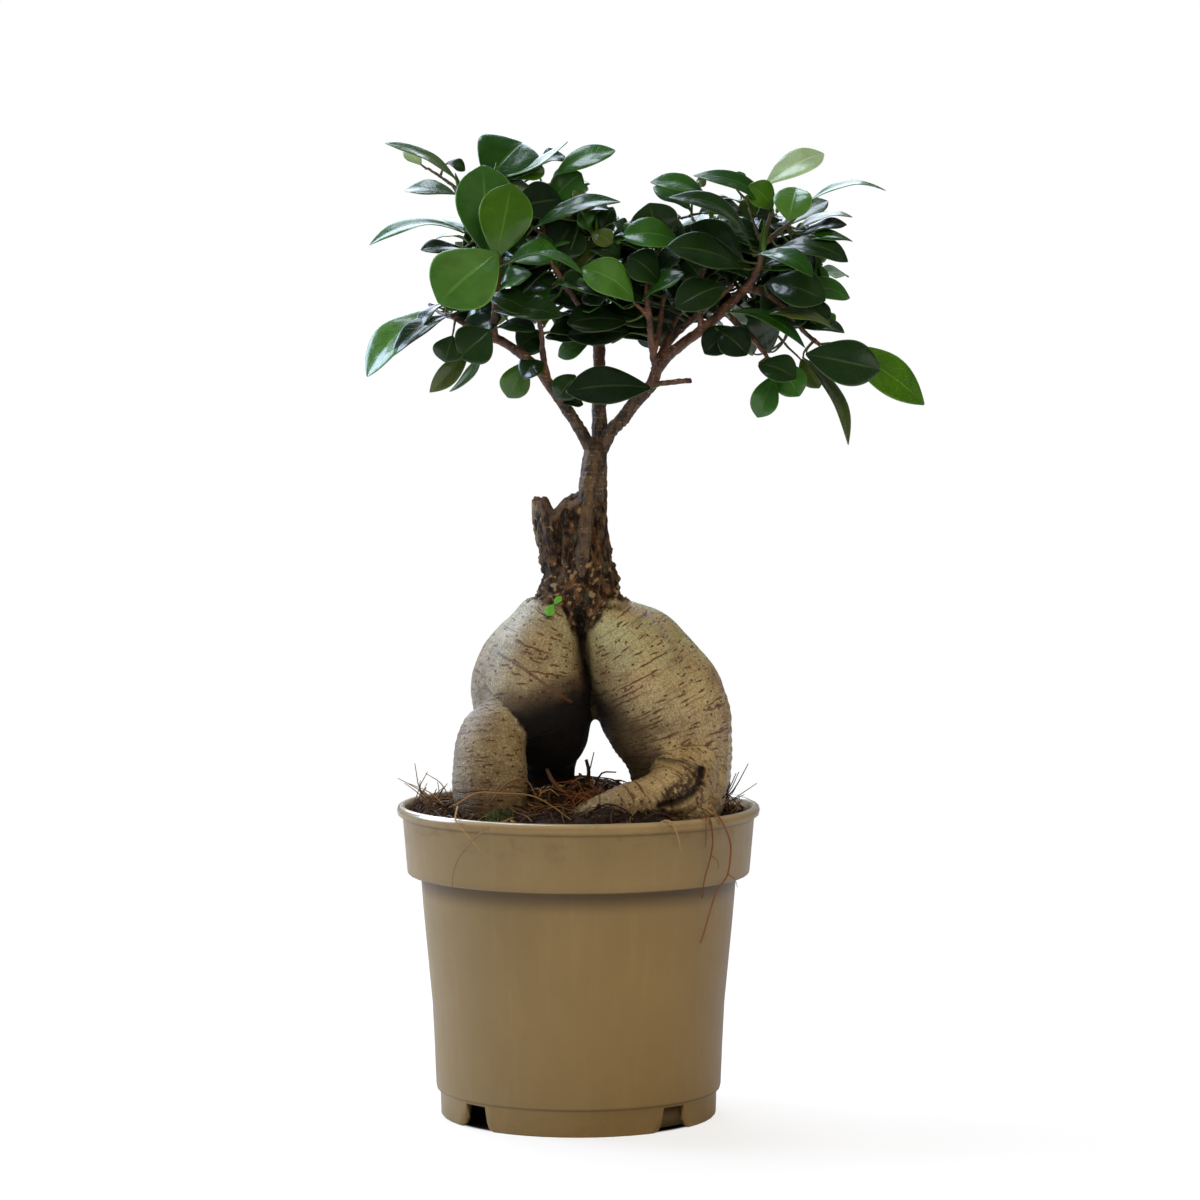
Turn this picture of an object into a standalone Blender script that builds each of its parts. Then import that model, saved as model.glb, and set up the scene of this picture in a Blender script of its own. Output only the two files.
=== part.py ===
"""Ginseng ficus bonsai in its nursery pot.

Blender metres, +Z up. Everything is laid out in millimetres round the pot's own axis, with the pot's
foot on z = 0 and the front of the plant towards -Y. The last step moves the whole plant so that the
origin lies under the middle of its bounding box.

A thin plastic pot holds a plug of peat. The caudex, the swollen root stock that stands on legs of its
own, is set into the peat. The scion grafted onto it forks into three branches, and every leaf sits on
a petiole of its own against a shoot of the scion.
"""

import math

import bmesh
import bpy
from mathutils import Vector
from mathutils.bvhtree import BVHTree

MM = 0.001

# Pot: a 14 cm nursery pot, turned about Z. Radii and heights in mm.
RIM_RADIUS = 70.0
POT_HEIGHT = 120.0
RIM_BEAD = 4.2  # height of the rolled bead at the rim
COLLAR_TOP_RADIUS = 67.8
COLLAR_BOTTOM = (66.0, 95.5)  # radius and height of the collar's lower edge
BODY_TOP = (60.8, 90.0)
BODY_WAIST = (56.4, 43.0)  # the taper eases below this height
BODY_BOTTOM = (55.0, 11.5)
FOOT_RADIUS = 53.4
FOOT_HEIGHT = 9.8
FOOT_THICKNESS = 2.8
POT_WALL = 1.3
FLOOR_TOP = 11.6
POT_STEPS = 48
NOTCH_ANGLES = (43.0, 133.0, 223.0, 313.0)  # degrees from +X, anticlockwise
DRAIN_RADIUS = 4.0
DRAIN_RING = 34.0
DRAIN_COUNT = 6

# Soil: level at the pot wall, and how far the mound rises above that in the middle.
SOIL_EDGE = 114.6
SOIL_MOUND = 10.5
SOIL_RADIUS = 65.0
SOIL_RINGS = (12.0, 24.0, 35.0, 45.0, 54.0, 61.0)
SOIL_STEPS = 28
CLEARANCE = 0.35  # between solids that touch on the real plant

# Caudex: each limb is a run of (x, y, z, radius), smoothed into one body.
CAUDEX_LIMBS = {
    "neck": ((1, 0, 180, 5), (1, 0, 190, 10.5), (1, 0, 197, 14.4), (1, 0, 203, 15.2), (0.5, 0, 211, 13.2),
             (-1.5, 0, 219, 13.6), (-3, 0, 228, 14.6), (-3, 0, 236, 15), (-3, 0, 244, 15)),
    "right_lobe": ((8, 0, 197, 7), (16, 0, 186, 13.2), (21, 0, 178, 18.2), (27, 0, 168, 22.8),
                   (31.5, 0, 159, 25.0), (35.6, 0, 149, 24.2), (38.6, 0, 139, 21), (39.5, 0, 128, 19),
                   (39, 0, 116, 17), (39, 0, 108, 15)),
    "right_front": ((8.5, -8, 197, 7.5), (13.5, -9, 188, 12), (19, -10, 178, 16.2), (25, -10, 167, 19.6),
                    (30, -8, 156, 20)),
    "right_back": ((10, 8, 196, 6), (15.5, 10, 187, 10.5), (20.5, 10, 178, 14.5), (26, 10, 167, 17.5),
                   (31, 8, 152, 18)),
    "forward_foot": ((40, -6, 140, 14), (40, -22, 130, 12.6), (30.5, -31, 124.5, 11.5), (19, -36, 121.5, 10),
                     (8, -38, 119, 7.8), (-2, -38, 117, 5)),
    "heel_root": ((46, -4, 138, 12), (49, -14, 127, 8.5), (47, -26, 120, 7.5), (43, -35, 112, 6.5)),
    "left_lobe": ((-5, 0, 197, 7), (-10.5, 0, 187, 14.8), (-16.3, -1, 175, 21.3), (-18.2, 0, 164, 23.6),
                  (-15.5, 4, 154, 21.6), (-13.6, 8, 145, 18), (-14, 13, 136, 13.6), (-14, 14, 124, 12.8),
                  (-14, 14, 108, 11)),
    "left_front": ((-5.5, -8, 197, 7.5), (-10.5, -9, 188, 12), (-16, -10, 176, 17.4), (-17, -9, 165, 19.6),
                   (-15.5, -5, 155, 18)),
    "left_back": ((-6, 8, 196, 6), (-11, 10, 187, 11), (-17, 10, 176, 16), (-18.5, 9, 165, 18),
                  (-16.5, 10, 155, 16.5)),
    "front_leg": ((-34, -11, 154.5, 6.5), (-34, -14, 151.5, 10.3), (-33.8, -17.5, 146, 13.3),
                  (-33.6, -20, 139, 14.2), (-33.6, -21, 126, 14.2), (-33, -21, 108, 12.5)),
}
STUMP_TOP = 237.0
CAUDEX_VOXEL = 1.5
CAUDEX_FACES = 3000

# Scion: shoots as (x, y, z) points with the radius at the start and at the end.
SHOOTS = {
    "stem": (((5, -3, 230), (5, -3, 244), (6, -2, 251), (7, 0, 258)), 5.0, 4.2),
    "left_branch": (((7, -1, 253), (3, -3, 260), (-3, -6, 270), (-10, -9, 280), (-16, -11, 288),
                     (-23, -12, 294), (-31, -13, 299)), 2.6, 1.9),
    "centre_branch": (((7, 0, 254), (8, 1, 264), (8, 2, 275), (8, 3, 286), (8, 4, 298), (8, 6, 311)), 3.1, 2.3),
    "right_branch": (((8, 0, 255), (12, -1, 263), (17, -1, 268), (22, -2, 275), (28, -4, 281), (30, -5, 287),
                      (36, -6, 294), (47, -5, 302), (56, -4, 310), (65, -3, 319)), 2.9, 2.0),
    "left_rise": (((-31, -13, 298), (-32, -15, 304), (-31, -17, 314), (-30, -17, 325), (-30, -12, 338),
                   (-31, -8, 349), (-32, -6, 357)), 1.8, 1.0),
    "left_high": (((-30, -17, 325), (-37, -6, 337), (-43, -2, 348), (-45, 0, 355)), 1.3, 0.9),
    "left_low": (((-31, -13, 298), (-37, -17, 301), (-44, -22, 305), (-50, -25, 309)), 1.5, 1.0),
    "inner_rise": (((8, 4, 296), (3, 0, 308), (-5, -4, 319), (-10, -6, 328), (-13, -6, 338), (-13, -2, 348),
                    (-11, 3, 355)), 1.7, 0.9),
    "dark_twig": (((-11, -9, 281), (-13, -9, 290), (-14, -10, 300), (-15, -12, 308)), 1.6, 1.1),
    "centre_rise": (((8, 6, 310), (9, 4, 323), (8, 2, 333), (7, 0, 338)), 1.8, 1.0),
    "upright_a": (((30, -5, 287), (28, -7, 296), (27, -9, 307), (26, -10, 315), (27, -9, 323),
                   (29, -8, 330)), 1.8, 1.0),
    "upright_b": (((29, -7, 294), (31, -4, 302), (32, -2, 312), (34, -2, 318)), 1.4, 1.0),
    "upright_c": (((27, -9, 306), (24, -11, 310), (21, -12, 312)), 1.2, 0.9),
    "right_rise": (((65, -3, 318), (69, -6, 327), (70, -8, 335), (72, -8, 342), (74, -8, 348)), 1.9, 0.9),
    "right_high": (((70, -8, 334), (77, -7, 340), (81, -7, 343), (85, -8, 348)), 1.3, 0.9),
    "right_left": (((47, -5, 302), (46, -8, 313), (47, -8, 323), (50, -6, 335), (51, -4, 343)), 1.6, 0.9),
    "right_out": (((65, -3, 318), (72, -8, 315), (79, -12, 310), (85, -14, 302), (92, -14, 296)), 1.7, 1.0),
    "right_hang": (((56, -4, 309), (61, -8, 304), (68, -12, 297), (72, -15, 291)), 1.5, 1.0),
    "back_left": (((-32, -15, 304), (-30, 0, 310), (-31, 15, 317), (-34, 28, 327), (-36, 36, 334)), 1.6, 0.9),
    "back_centre": (((8, 5, 306), (11, 18, 313), (13, 30, 321), (12, 38, 328)), 1.7, 0.9),
    "back_right": (((56, -4, 309), (61, 8, 315), (65, 20, 323), (68, 32, 330), (69, 38, 334)), 1.6, 0.9),
    "inner_back": (((-5, -4, 318), (-8, 12, 325), (-12, 26, 332)), 1.3, 0.9),
    "stub": (((27, -4, 281), (33, -9, 282), (43, -14, 283)), 1.3, 1.1),
}

# Leaves: blade base, blade tip, width, the way the upper face looks, and how far the blade arches.
LEFT_LEAVES = (
    ((-34, -8, 362), (-24, 14, 376), 25, (0, -0.5, 0.9), 3),
    ((-28, -6, 360), (-4, -2, 374), 13, (-0.5, -0.3, 0.8), -2),
    ((-46, -4, 360), (-73, -8, 374), 13, (0.4, -0.2, 0.9), 2),
    ((-48, 8, 355), (-67, 12, 356), 10, (0, -0.3, 0.95), 1),
    ((-43, -10, 339), (-79, -18, 336), 14, (0, -0.15, 1), 5),
    ((-44, 10, 333), (-60, 4, 333), 9, (0, -0.6, 0.8), 1),
    ((-34, -20, 330), (-36, -12, 365), 23, (0, -1, 0.1), 1),
    ((-30, -24, 328), (-31, -24, 356), 21, (0.15, -1, 0), 1),
    ((-30, -26, 330), (-51, -35, 311), 25, (0, -0.85, 0.5), 2),
    ((-25, -12, 348), (-6, -2, 352), 17, (0, -0.9, 0.3), 1),
    ((-10, 4, 352), (1, 2, 362), 14, (0, -0.9, 0.2), 1),
    ((-9, 8, 362), (13, 12, 372), 14, (-0.3, -0.4, 0.85), 1),
    ((-16, -8, 342), (15, -2, 352), 14, (-0.2, -0.35, 0.9), 3),
    ((-11, -8, 328), (-2, -6, 343), 20, (0, -1, 0.1), 1),
    ((-26, -14, 328), (-8, -12, 333), 14, (0, -0.7, 0.7), 1),
    ((-27, -22, 327), (2, -28, 324), 15, (0, -0.25, 0.95), 4),
    ((21, -14, 313), (2, -18, 327), 16, (0.2, -0.75, 0.6), 2),
    ((19, -8, 305), (-4, -16, 305), 17, (0, -0.7, 0.7), 2),
    ((-31, -20, 309), (-6, -27, 308), 14, (0, -0.7, 0.7), 2),
    ((-53, -24, 311), (-80, -34, 286), 19, (-0.5, -0.6, 0.6), 3),
    ((-47, -28, 308), (-70, -36, 293), 13, (0.3, -0.7, 0.6), 2),
    ((-47, -30, 300), (-50, -32, 290), 12, (0, -1, -0.1), 1),
    ((-33, -26, 302), (-44, -33, 292), 17, (0.2, -0.9, 0.3), 1),
    ((-41, -18, 293), (-55, -22, 279), 11, (0.4, -0.9, -0.2), 1),
    ((-37, -12, 294), (-48, -14, 278), 10, (0.8, -0.35, 0.4), 1),
    ((-20, -2, 290), (-27, 0, 276), 12, (0, -1, 0), 1),
    ((28, -14, 280), (-4, -25, 280), 17, (0, -0.85, 0.5), 2),
    ((-36, 38, 336), (-52, 62, 347), 17, (0, -0.3, 0.9), 3),
    ((-12, 30, 334), (-8, 56, 328), 16, (0, -0.4, 0.8), 3),
)
RIGHT_LEAVES = (
    ((51, -4, 350), (28, -12, 359), 15, (-0.1, -0.6, 0.8), 3),
    ((66, -16, 333), (34, -25, 352), 17, (-0.3, -0.75, 0.6), 5),
    ((74, -8, 350), (44, -14, 360), 15, (-0.35, -0.6, 0.7), 4),
    ((75, -2, 358), (92, 6, 370), 15, (-0.5, -0.8, 0.5), 2),
    ((83, -12, 356), (79, -28, 344), 15, (0, -0.8, 0.6), 2),
    ((88, -8, 351), (117, -6, 356), 12, (-0.1, -0.25, 0.95), 4),
    ((78, -3, 341), (95, 0, 352), 15, (-0.35, -0.5, 0.75), 1),
    ((83, -10, 340), (104, -12, 345), 12, (-0.3, -0.3, 0.9), 3),
    ((76, -14, 333), (102, -20, 328), 15, (0.1, -0.6, 0.8), 4),
    ((68, -20, 328), (87, -34, 322), 16, (0, -0.55, 0.85), 3),
    ((71, -14, 320), (93, -24, 314), 17, (0, -0.85, 0.5), 2),
    ((82, -4, 317), (104, -2, 315), 13, (0.1, -0.7, 0.7), 3),
    ((63, -14, 325), (34, -28, 334), 17, (0, -0.75, 0.65), 3),
    ((53, -16, 318), (37, -26, 312), 15, (0, -0.9, 0.4), 2),
    ((31, -6, 334), (27, -10, 350), 19, (0, -1, 0.2), 1),
    ((39, -12, 335), (17, -18, 338), 15, (-0.1, -0.8, 0.6), 3),
    ((53, -10, 302), (64, -16, 293), 14, (0, -0.9, 0.4), 2),
    ((58, -13, 307), (86, -22, 294), 16, (0.3, -0.7, 0.6), 4),
    ((68, -20, 289), (82, -27, 284), 14, (0, -0.8, 0.6), 2),
    ((74, -18, 285), (68, -20, 269), 11, (0, -1, -0.1), 1),
    ((85, -12, 292), (104, -14, 259), 12, (0.75, -0.5, 0.3), 4),
    ((86, -18, 293), (114, -24, 287), 18, (0, -1, 0.1), 2),
    ((98, -10, 297), (133, -6, 274), 16, (0.15, -0.95, 0.25), 4),
    ((76, -12, 290), (84, -16, 277), 13, (0, -1, 0), 1),
    ((83, -12, 303), (101, -18, 302), 12, (0, -0.5, 0.85), 2),
    ((13, 42, 330), (18, 66, 343), 17, (0, -0.3, 0.9), 3),
    ((70, 42, 337), (84, 62, 347), 17, (0, -0.3, 0.9), 3),
)
LEAF_THICKNESS = 0.8
PETIOLE_WIDTH = 1.4
DOUBLING_ALLOWED = 0.5  # how far a petiole may double back on its blade, as a cosine
DOUBLING_COST = 4.0  # how much one that doubles back further is shunned
PETIOLE_GAP = 0.55  # from the bark's drawn radius; the shoot's flat sides lie a little inside it
LEAF_ROWS = 7  # strips along petiole and blade together
PETIOLE_ROWS = 2
LEAF_FOLD = 0.14  # how far the margins lift above the midrib, as a share of the half width
SETTLE_STEP = 1.5  # a leaf that would cross another one is moved fore or aft in these steps
SETTLE_TRIES = 12


# ---------------------------------------------------------------- scene helpers


def clear_scene():
    for obj in list(bpy.data.objects):
        bpy.data.objects.remove(obj, do_unlink=True)


def new_collection(name):
    collection = bpy.data.collections.new(name)
    bpy.context.scene.collection.children.link(collection)
    return collection


def linear(channel):
    """An sRGB channel from 0 to 255 as a linear value."""
    value = channel / 255
    return value / 12.92 if value <= 0.04045 else ((value + 0.055) / 1.055) ** 2.4


def material(name, rgb, roughness):
    made = bpy.data.materials.new(name)
    made.use_nodes = True
    shader = made.node_tree.nodes["Principled BSDF"]
    shader.inputs["Base Color"].default_value = (*(linear(c) for c in rgb), 1)
    shader.inputs["Roughness"].default_value = roughness
    shader.inputs["Metallic"].default_value = 0
    return made


def add_mesh(name, mesh, collection, finish=None, smooth_angle=None):
    obj = bpy.data.objects.new(name, mesh)
    collection.objects.link(obj)
    if finish:
        mesh.materials.clear()
        mesh.materials.append(finish)
    if smooth_angle:
        mesh.shade_smooth()
        mesh.set_sharp_from_angle(angle=math.radians(smooth_angle))
    return obj


def from_bmesh(name, bm):
    mesh = bpy.data.meshes.new(name)
    bm.to_mesh(mesh)
    bm.free()
    return mesh


def evaluated_mesh(obj):
    """The object's mesh with its modifiers applied, as a mesh of its own."""
    bpy.context.view_layer.update()
    graph = bpy.context.evaluated_depsgraph_get()
    return bpy.data.meshes.new_from_object(obj.evaluated_get(graph))


def hide_helper(obj):
    obj.hide_render = True
    obj.display_type = "WIRE"


def boolean(obj, other, operation):
    modifier = obj.modifiers.new(operation.title(), "BOOLEAN")
    modifier.operation = operation
    modifier.solver = "EXACT"
    modifier.object = other


def smooth_run(points, per_span):
    """Points along a Catmull-Rom curve through tuples of any length."""
    ends = [points[0], *points, points[-1]]
    run = []
    for before, start, stop, after in zip(ends, ends[1:], ends[2:], ends[3:]):
        for step in range(per_span):
            t = step / per_span
            run.append(tuple(
                0.5 * (2 * b + (c - a) * t + (2 * a - 5 * b + 4 * c - d) * t * t + (3 * b - a - 3 * c + d) * t ** 3)
                for a, b, c, d in zip(before, start, stop, after)
            ))
    run.append(tuple(float(value) for value in points[-1]))
    return run


def tube_mesh(name, run, sides):
    """A closed mesh tube along (x, y, z, radius) points, made from a beveled curve."""
    curve = bpy.data.curves.new(name, "CURVE")
    curve.dimensions = "3D"
    curve.bevel_depth = MM
    curve.bevel_resolution = sides // 2 - 2
    curve.use_fill_caps = True
    spline = curve.splines.new("POLY")
    spline.points.add(len(run) - 1)
    for point, (x, y, z, radius) in zip(spline.points, run):
        point.co = (x * MM, y * MM, z * MM, 1)
        point.radius = radius
    guide = bpy.data.objects.new(name, curve)
    bpy.context.scene.collection.objects.link(guide)
    mesh = evaluated_mesh(guide)
    bpy.data.objects.remove(guide, do_unlink=True)
    bpy.data.curves.remove(curve)
    bm = bmesh.new()
    bm.from_mesh(mesh)
    bmesh.ops.remove_doubles(bm, verts=bm.verts, dist=1e-6)
    bmesh.ops.recalc_face_normals(bm, faces=bm.faces)
    bm.to_mesh(mesh)
    bm.free()
    return mesh


# ---------------------------------------------------------------- pot


def body_outside():
    """Outer side of the pot from the rim down to the foot's inner edge."""
    top = POT_HEIGHT
    bead_middle = top - RIM_BEAD / 2
    inner_lip = RIM_RADIUS - 3.2
    rim = [(inner_lip, top - 1.2), (inner_lip + 0.5, top - 0.3), (inner_lip + 1.5, top),
           (RIM_RADIUS - 0.6, top - 0.6), (RIM_RADIUS, bead_middle),
           (RIM_RADIUS - 0.5, top - RIM_BEAD + 0.5), (RIM_RADIUS - 1.2, top - RIM_BEAD)]
    collar = [(COLLAR_TOP_RADIUS, top - RIM_BEAD - 0.3), COLLAR_BOTTOM,
              (COLLAR_BOTTOM[0] - 0.5, COLLAR_BOTTOM[1] - 0.8), (BODY_TOP[0] + 0.6, BODY_TOP[1] + 0.6)]
    body = [(BODY_TOP[0], BODY_TOP[1] - 0.6), (59.5, 76.0), (57.9, 59.0), BODY_WAIST, (55.6, 27.0), BODY_BOTTOM,
            (BODY_BOTTOM[0] - 0.4, BODY_BOTTOM[1] - 1.2)]
    foot = [(FOOT_RADIUS, FOOT_HEIGHT), (FOOT_RADIUS - 0.3, 0.6), (FOOT_RADIUS - 0.8, 0.0),
            (FOOT_RADIUS - FOOT_THICKNESS, 0.0), (FOOT_RADIUS - FOOT_THICKNESS - 0.2, FOOT_HEIGHT - 0.4)]
    return rim + collar + body + foot


def body_inside():
    """Inner side of the pot from the floor up to the rim."""
    return [(BODY_BOTTOM[0] - POT_WALL - 2.0, FLOOR_TOP), (BODY_BOTTOM[0] - POT_WALL, FLOOR_TOP + 1.6),
            (BODY_WAIST[0] - POT_WALL, BODY_WAIST[1]), (57.9 - POT_WALL, 59.0),
            (BODY_TOP[0] - POT_WALL, BODY_TOP[1] + 1.0), (COLLAR_BOTTOM[0] - POT_WALL, COLLAR_BOTTOM[1] + 0.6),
            (RIM_RADIUS - 3.4, POT_HEIGHT - RIM_BEAD)]


def turned(name, profile, steps):
    """A closed turned mesh from a profile that starts and ends on the axis."""
    bm = bmesh.new()
    verts = [bm.verts.new((radius * MM, 0, height * MM)) for radius, height in profile]
    edges = [bm.edges.new(pair) for pair in zip(verts, verts[1:])]
    bmesh.ops.spin(bm, geom=verts + edges, cent=(0, 0, 0), axis=(0, 0, 1), angle=2 * math.pi, steps=steps,
                   use_merge=True)
    bmesh.ops.remove_doubles(bm, verts=bm.verts, dist=1e-6)
    bmesh.ops.recalc_face_normals(bm, faces=bm.faces)
    return from_bmesh(name, bm)


def notch_cutter(angle, cutters):
    """One foot notch: a trapezoid, flared where it meets the ground, pushed through the ring."""
    half = ((5.2, FOOT_HEIGHT - 0.5), (6.3, 3.2), (7.2, 1.2), (9.2, -0.1), (9.2, -3.0))
    outline = [(-y, z) for y, z in reversed(half)] + list(half)
    bm = bmesh.new()
    inner = [bm.verts.new((44 * MM, y * MM, z * MM)) for y, z in outline]
    face = bm.faces.new(inner)
    pushed = bmesh.ops.extrude_face_region(bm, geom=[face])["geom"]
    outer = [item for item in pushed if isinstance(item, bmesh.types.BMVert)]
    bmesh.ops.translate(bm, verts=outer, vec=(14 * MM, 0, 0))
    bmesh.ops.recalc_face_normals(bm, faces=bm.faces)
    cutter = add_mesh(f"notch_cutter_{angle:.0f}", from_bmesh("notch_cutter", bm), cutters)
    cutter.rotation_euler.z = math.radians(angle)
    hide_helper(cutter)
    return cutter


def drain_cutter(index, centre, cutters):
    bm = bmesh.new()
    bmesh.ops.create_cone(bm, cap_ends=True, segments=14, radius1=DRAIN_RADIUS * MM, radius2=DRAIN_RADIUS * MM,
                          depth=8 * MM)
    cutter = add_mesh(f"drain_cutter_{index}", from_bmesh("drain_cutter", bm), cutters)
    cutter.location = (centre[0] * MM, centre[1] * MM, FLOOR_TOP * MM)
    hide_helper(cutter)
    return cutter


def make_pot(parts, cutters):
    profile = [(0.0, FLOOR_TOP), *body_inside(), *body_outside(), (0.0, FOOT_HEIGHT - 0.4)]
    plastic = material("taupe_plastic", (126, 108, 76), 0.42)
    pot = add_mesh("pot", turned("pot", profile, POT_STEPS), parts, plastic, 35)
    for angle in NOTCH_ANGLES:
        boolean(pot, notch_cutter(angle, cutters), "DIFFERENCE")
    centres = [(0.0, 0.0)]
    for index in range(DRAIN_COUNT):
        turn = math.tau * index / DRAIN_COUNT
        centres.append((DRAIN_RING * math.cos(turn), DRAIN_RING * math.sin(turn)))
    for index, centre in enumerate(centres):
        boolean(pot, drain_cutter(index, centre, cutters), "DIFFERENCE")
    return pot


# ---------------------------------------------------------------- caudex


def make_caudex(parts, cutters):
    """Limbs as tapered tubes, melted into one body, sawn off flat on top."""
    bm = bmesh.new()
    for name, limb in CAUDEX_LIMBS.items():
        bm.from_mesh(tube_mesh(name, smooth_run(limb, 4), 24))
    bark = material("caudex_bark", (134, 116, 82), 0.62)
    limbs = add_mesh("caudex_limbs", from_bmesh("caudex_limbs", bm), cutters)
    hide_helper(limbs)
    melt = limbs.modifiers.new("Melt", "REMESH")
    melt.mode = "VOXEL"
    melt.voxel_size = CAUDEX_VOXEL * MM
    soften = limbs.modifiers.new("Soften", "SMOOTH")
    soften.factor = 0.5
    soften.iterations = 5
    bm = bmesh.new()
    bm.from_mesh(evaluated_mesh(limbs))
    geometry = bm.verts[:] + bm.edges[:] + bm.faces[:]
    bmesh.ops.bisect_plane(bm, geom=geometry, plane_co=(0, 0, STUMP_TOP * MM), plane_no=(0.06, -0.1, 1),
                           clear_outer=True)
    bmesh.ops.holes_fill(bm, edges=[edge for edge in bm.edges if edge.is_boundary])
    bmesh.ops.triangulate(bm, faces=bm.faces)
    limbs.modifiers.clear()
    caudex = add_mesh("caudex", from_bmesh("caudex", bm), parts, bark)
    thin = caudex.modifiers.new("Thin", "DECIMATE")
    thin.ratio = CAUDEX_FACES / len(caudex.data.polygons)
    caudex.data = evaluated_mesh(caudex)
    caudex.modifiers.clear()
    caudex.data.shade_smooth()
    caudex.data.set_sharp_from_angle(angle=math.radians(60))
    return caudex


def swollen_copy(obj, amount, cutters):
    """A copy whose surface lies a little outside, for cutting a seat with clearance."""
    bm = bmesh.new()
    bm.from_mesh(obj.data)
    bm.normal_update()
    moves = [(vert, vert.normal * amount * MM) for vert in bm.verts]
    for vert, move in moves:
        vert.co += move
    copy = add_mesh(obj.name + "_seat", from_bmesh(obj.name + "_seat", bm), cutters)
    hide_helper(copy)
    return copy


# ---------------------------------------------------------------- soil


def soil_height(x, y):
    """The peat rises from the pot wall to a mound that is fullest under the caudex and to the left."""
    edge = min(1.0, math.hypot(x, y) / SOIL_RADIUS)
    rise = SOIL_MOUND * (1 - edge ** 2) ** 1.5
    lean = 1.0 - 0.008 * x + 0.004 * y
    return SOIL_EDGE + rise * lean


def make_soil(parts, seat):
    wall = POT_WALL + CLEARANCE
    inside = [(SOIL_RINGS[-1] + 3.2, SOIL_EDGE), (RIM_RADIUS - 3.4 - CLEARANCE - 0.6, SOIL_EDGE - 0.6),
              (COLLAR_BOTTOM[0] - wall - 0.1, COLLAR_BOTTOM[1] + 0.4),
              (BODY_TOP[0] - wall - 0.2, BODY_TOP[1] + 0.8), (57.9 - wall - 0.2, 59.0),
              (BODY_WAIST[0] - wall - 0.2, BODY_WAIST[1]), (BODY_BOTTOM[0] - wall - 0.2, FLOOR_TOP + 2.0),
              (BODY_BOTTOM[0] - wall - 2.6, FLOOR_TOP + CLEARANCE)]
    profile = [(0.0, SOIL_EDGE), *((radius, SOIL_EDGE) for radius in SOIL_RINGS), *inside,
               (0.0, FLOOR_TOP + CLEARANCE)]
    mesh = turned("soil", profile, SOIL_STEPS)
    for vert in mesh.vertices:
        x, y, z = (value / MM for value in vert.co)
        if z > SOIL_EDGE - 0.1:
            vert.co.z = soil_height(x, y) * MM
    soil = add_mesh("soil", mesh, parts, material("peat", (52, 38, 26), 0.95), 50)
    boolean(soil, seat, "DIFFERENCE")
    return soil


# ---------------------------------------------------------------- scion


def shoot_run(name):
    points, thick, thin = SHOOTS[name]
    count = len(points) - 1
    stations = [(*point, thick + (thin - thick) * index / count) for index, point in enumerate(points)]
    return smooth_run(stations, 2)


def make_scion(parts, cutters, seat):
    """The stem with its branches and shoots, joined into one body that starts on the stump."""
    scion = None
    for name in SHOOTS:
        sides = 10 if name == "stem" else 8 if name.endswith("branch") else 6
        mesh = tube_mesh(name, shoot_run(name), sides)
        if scion is None:
            scion = add_mesh("scion", mesh, parts, material("young_bark", (84, 62, 46), 0.75))
            continue
        helper = add_mesh("shoot_" + name, mesh, cutters)
        hide_helper(helper)
        boolean(scion, helper, "UNION")
    boolean(scion, seat, "DIFFERENCE")
    scion.data = evaluated_mesh(scion)
    scion.modifiers.clear()
    scion.data.shade_smooth()
    return scion


# ---------------------------------------------------------------- leaves


def petiole_root(base, along):
    """Where the petiole starts: just clear of the nearest bark from which it needn't double back."""
    best = None
    for name in SHOOTS:
        if name == "stem":
            continue
        run = shoot_run(name)
        for start, stop in zip(run, run[1:]):
            first = Vector(start[:3])
            stretch = Vector(stop[:3]) - first
            share = max(0.0, min(1.0, (base - first).dot(stretch) / stretch.length_squared))
            place = first + stretch * share
            reach = base - place
            doubling = max(0.0, -reach.normalized().dot(along) - DOUBLING_ALLOWED)
            cost = reach.length * (1 + DOUBLING_COST * doubling)
            if best is None or cost < best[0]:
                best = (cost, place, start[3] + (stop[3] - start[3]) * share, stretch.normalized())
    _, place, radius, shoot = best
    outward = (base - place).normalized()
    sideways = math.sqrt(max(0.0, 1 - outward.dot(shoot) ** 2))
    return place + outward * (radius * sideways + PETIOLE_GAP)


def blade_half_width(share):
    """Outline of a ficus blade from its base at 0 to its blunt tip at 1, as a share of its half width."""
    return max(0.09, math.sin(math.pi * share ** 1.25) ** 0.65 if 0 < share < 1 else 0.0)


def leaf_bmesh(base, tip, width, facing, arch, thickness):
    """Petiole and blade as one strip of quads, folded along the midrib and given its thickness."""
    along = (tip - base).normalized()
    root = petiole_root(base, along)
    normal = (facing - along * facing.dot(along)).normalized()
    side = along.cross(normal)
    centres = [root.lerp(base, row / PETIOLE_ROWS) for row in range(PETIOLE_ROWS)]
    halves = [PETIOLE_WIDTH / 2] * PETIOLE_ROWS
    for row in range(LEAF_ROWS - PETIOLE_ROWS + 1):
        share = row / (LEAF_ROWS - PETIOLE_ROWS)
        centres.append(base.lerp(tip, share) + normal * arch * 4 * share * (1 - share))
        halves.append(max(PETIOLE_WIDTH / 2, blade_half_width(share) * width / 2))
    bm = bmesh.new()
    bmesh.ops.create_grid(bm, x_segments=2, y_segments=LEAF_ROWS, size=1)
    for vert in bm.verts:
        across = vert.co.x
        row = round((vert.co.y + 1) / 2 * LEAF_ROWS)
        lift = LEAF_FOLD * (halves[row] - PETIOLE_WIDTH / 2) * abs(across)
        vert.co = (centres[row] + side * across * halves[row] + normal * lift) * MM
    bmesh.ops.recalc_face_normals(bm, faces=bm.faces)
    bmesh.ops.solidify(bm, geom=bm.faces[:], thickness=thickness * MM)
    bmesh.ops.recalc_face_normals(bm, faces=bm.faces)
    return bm


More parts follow.
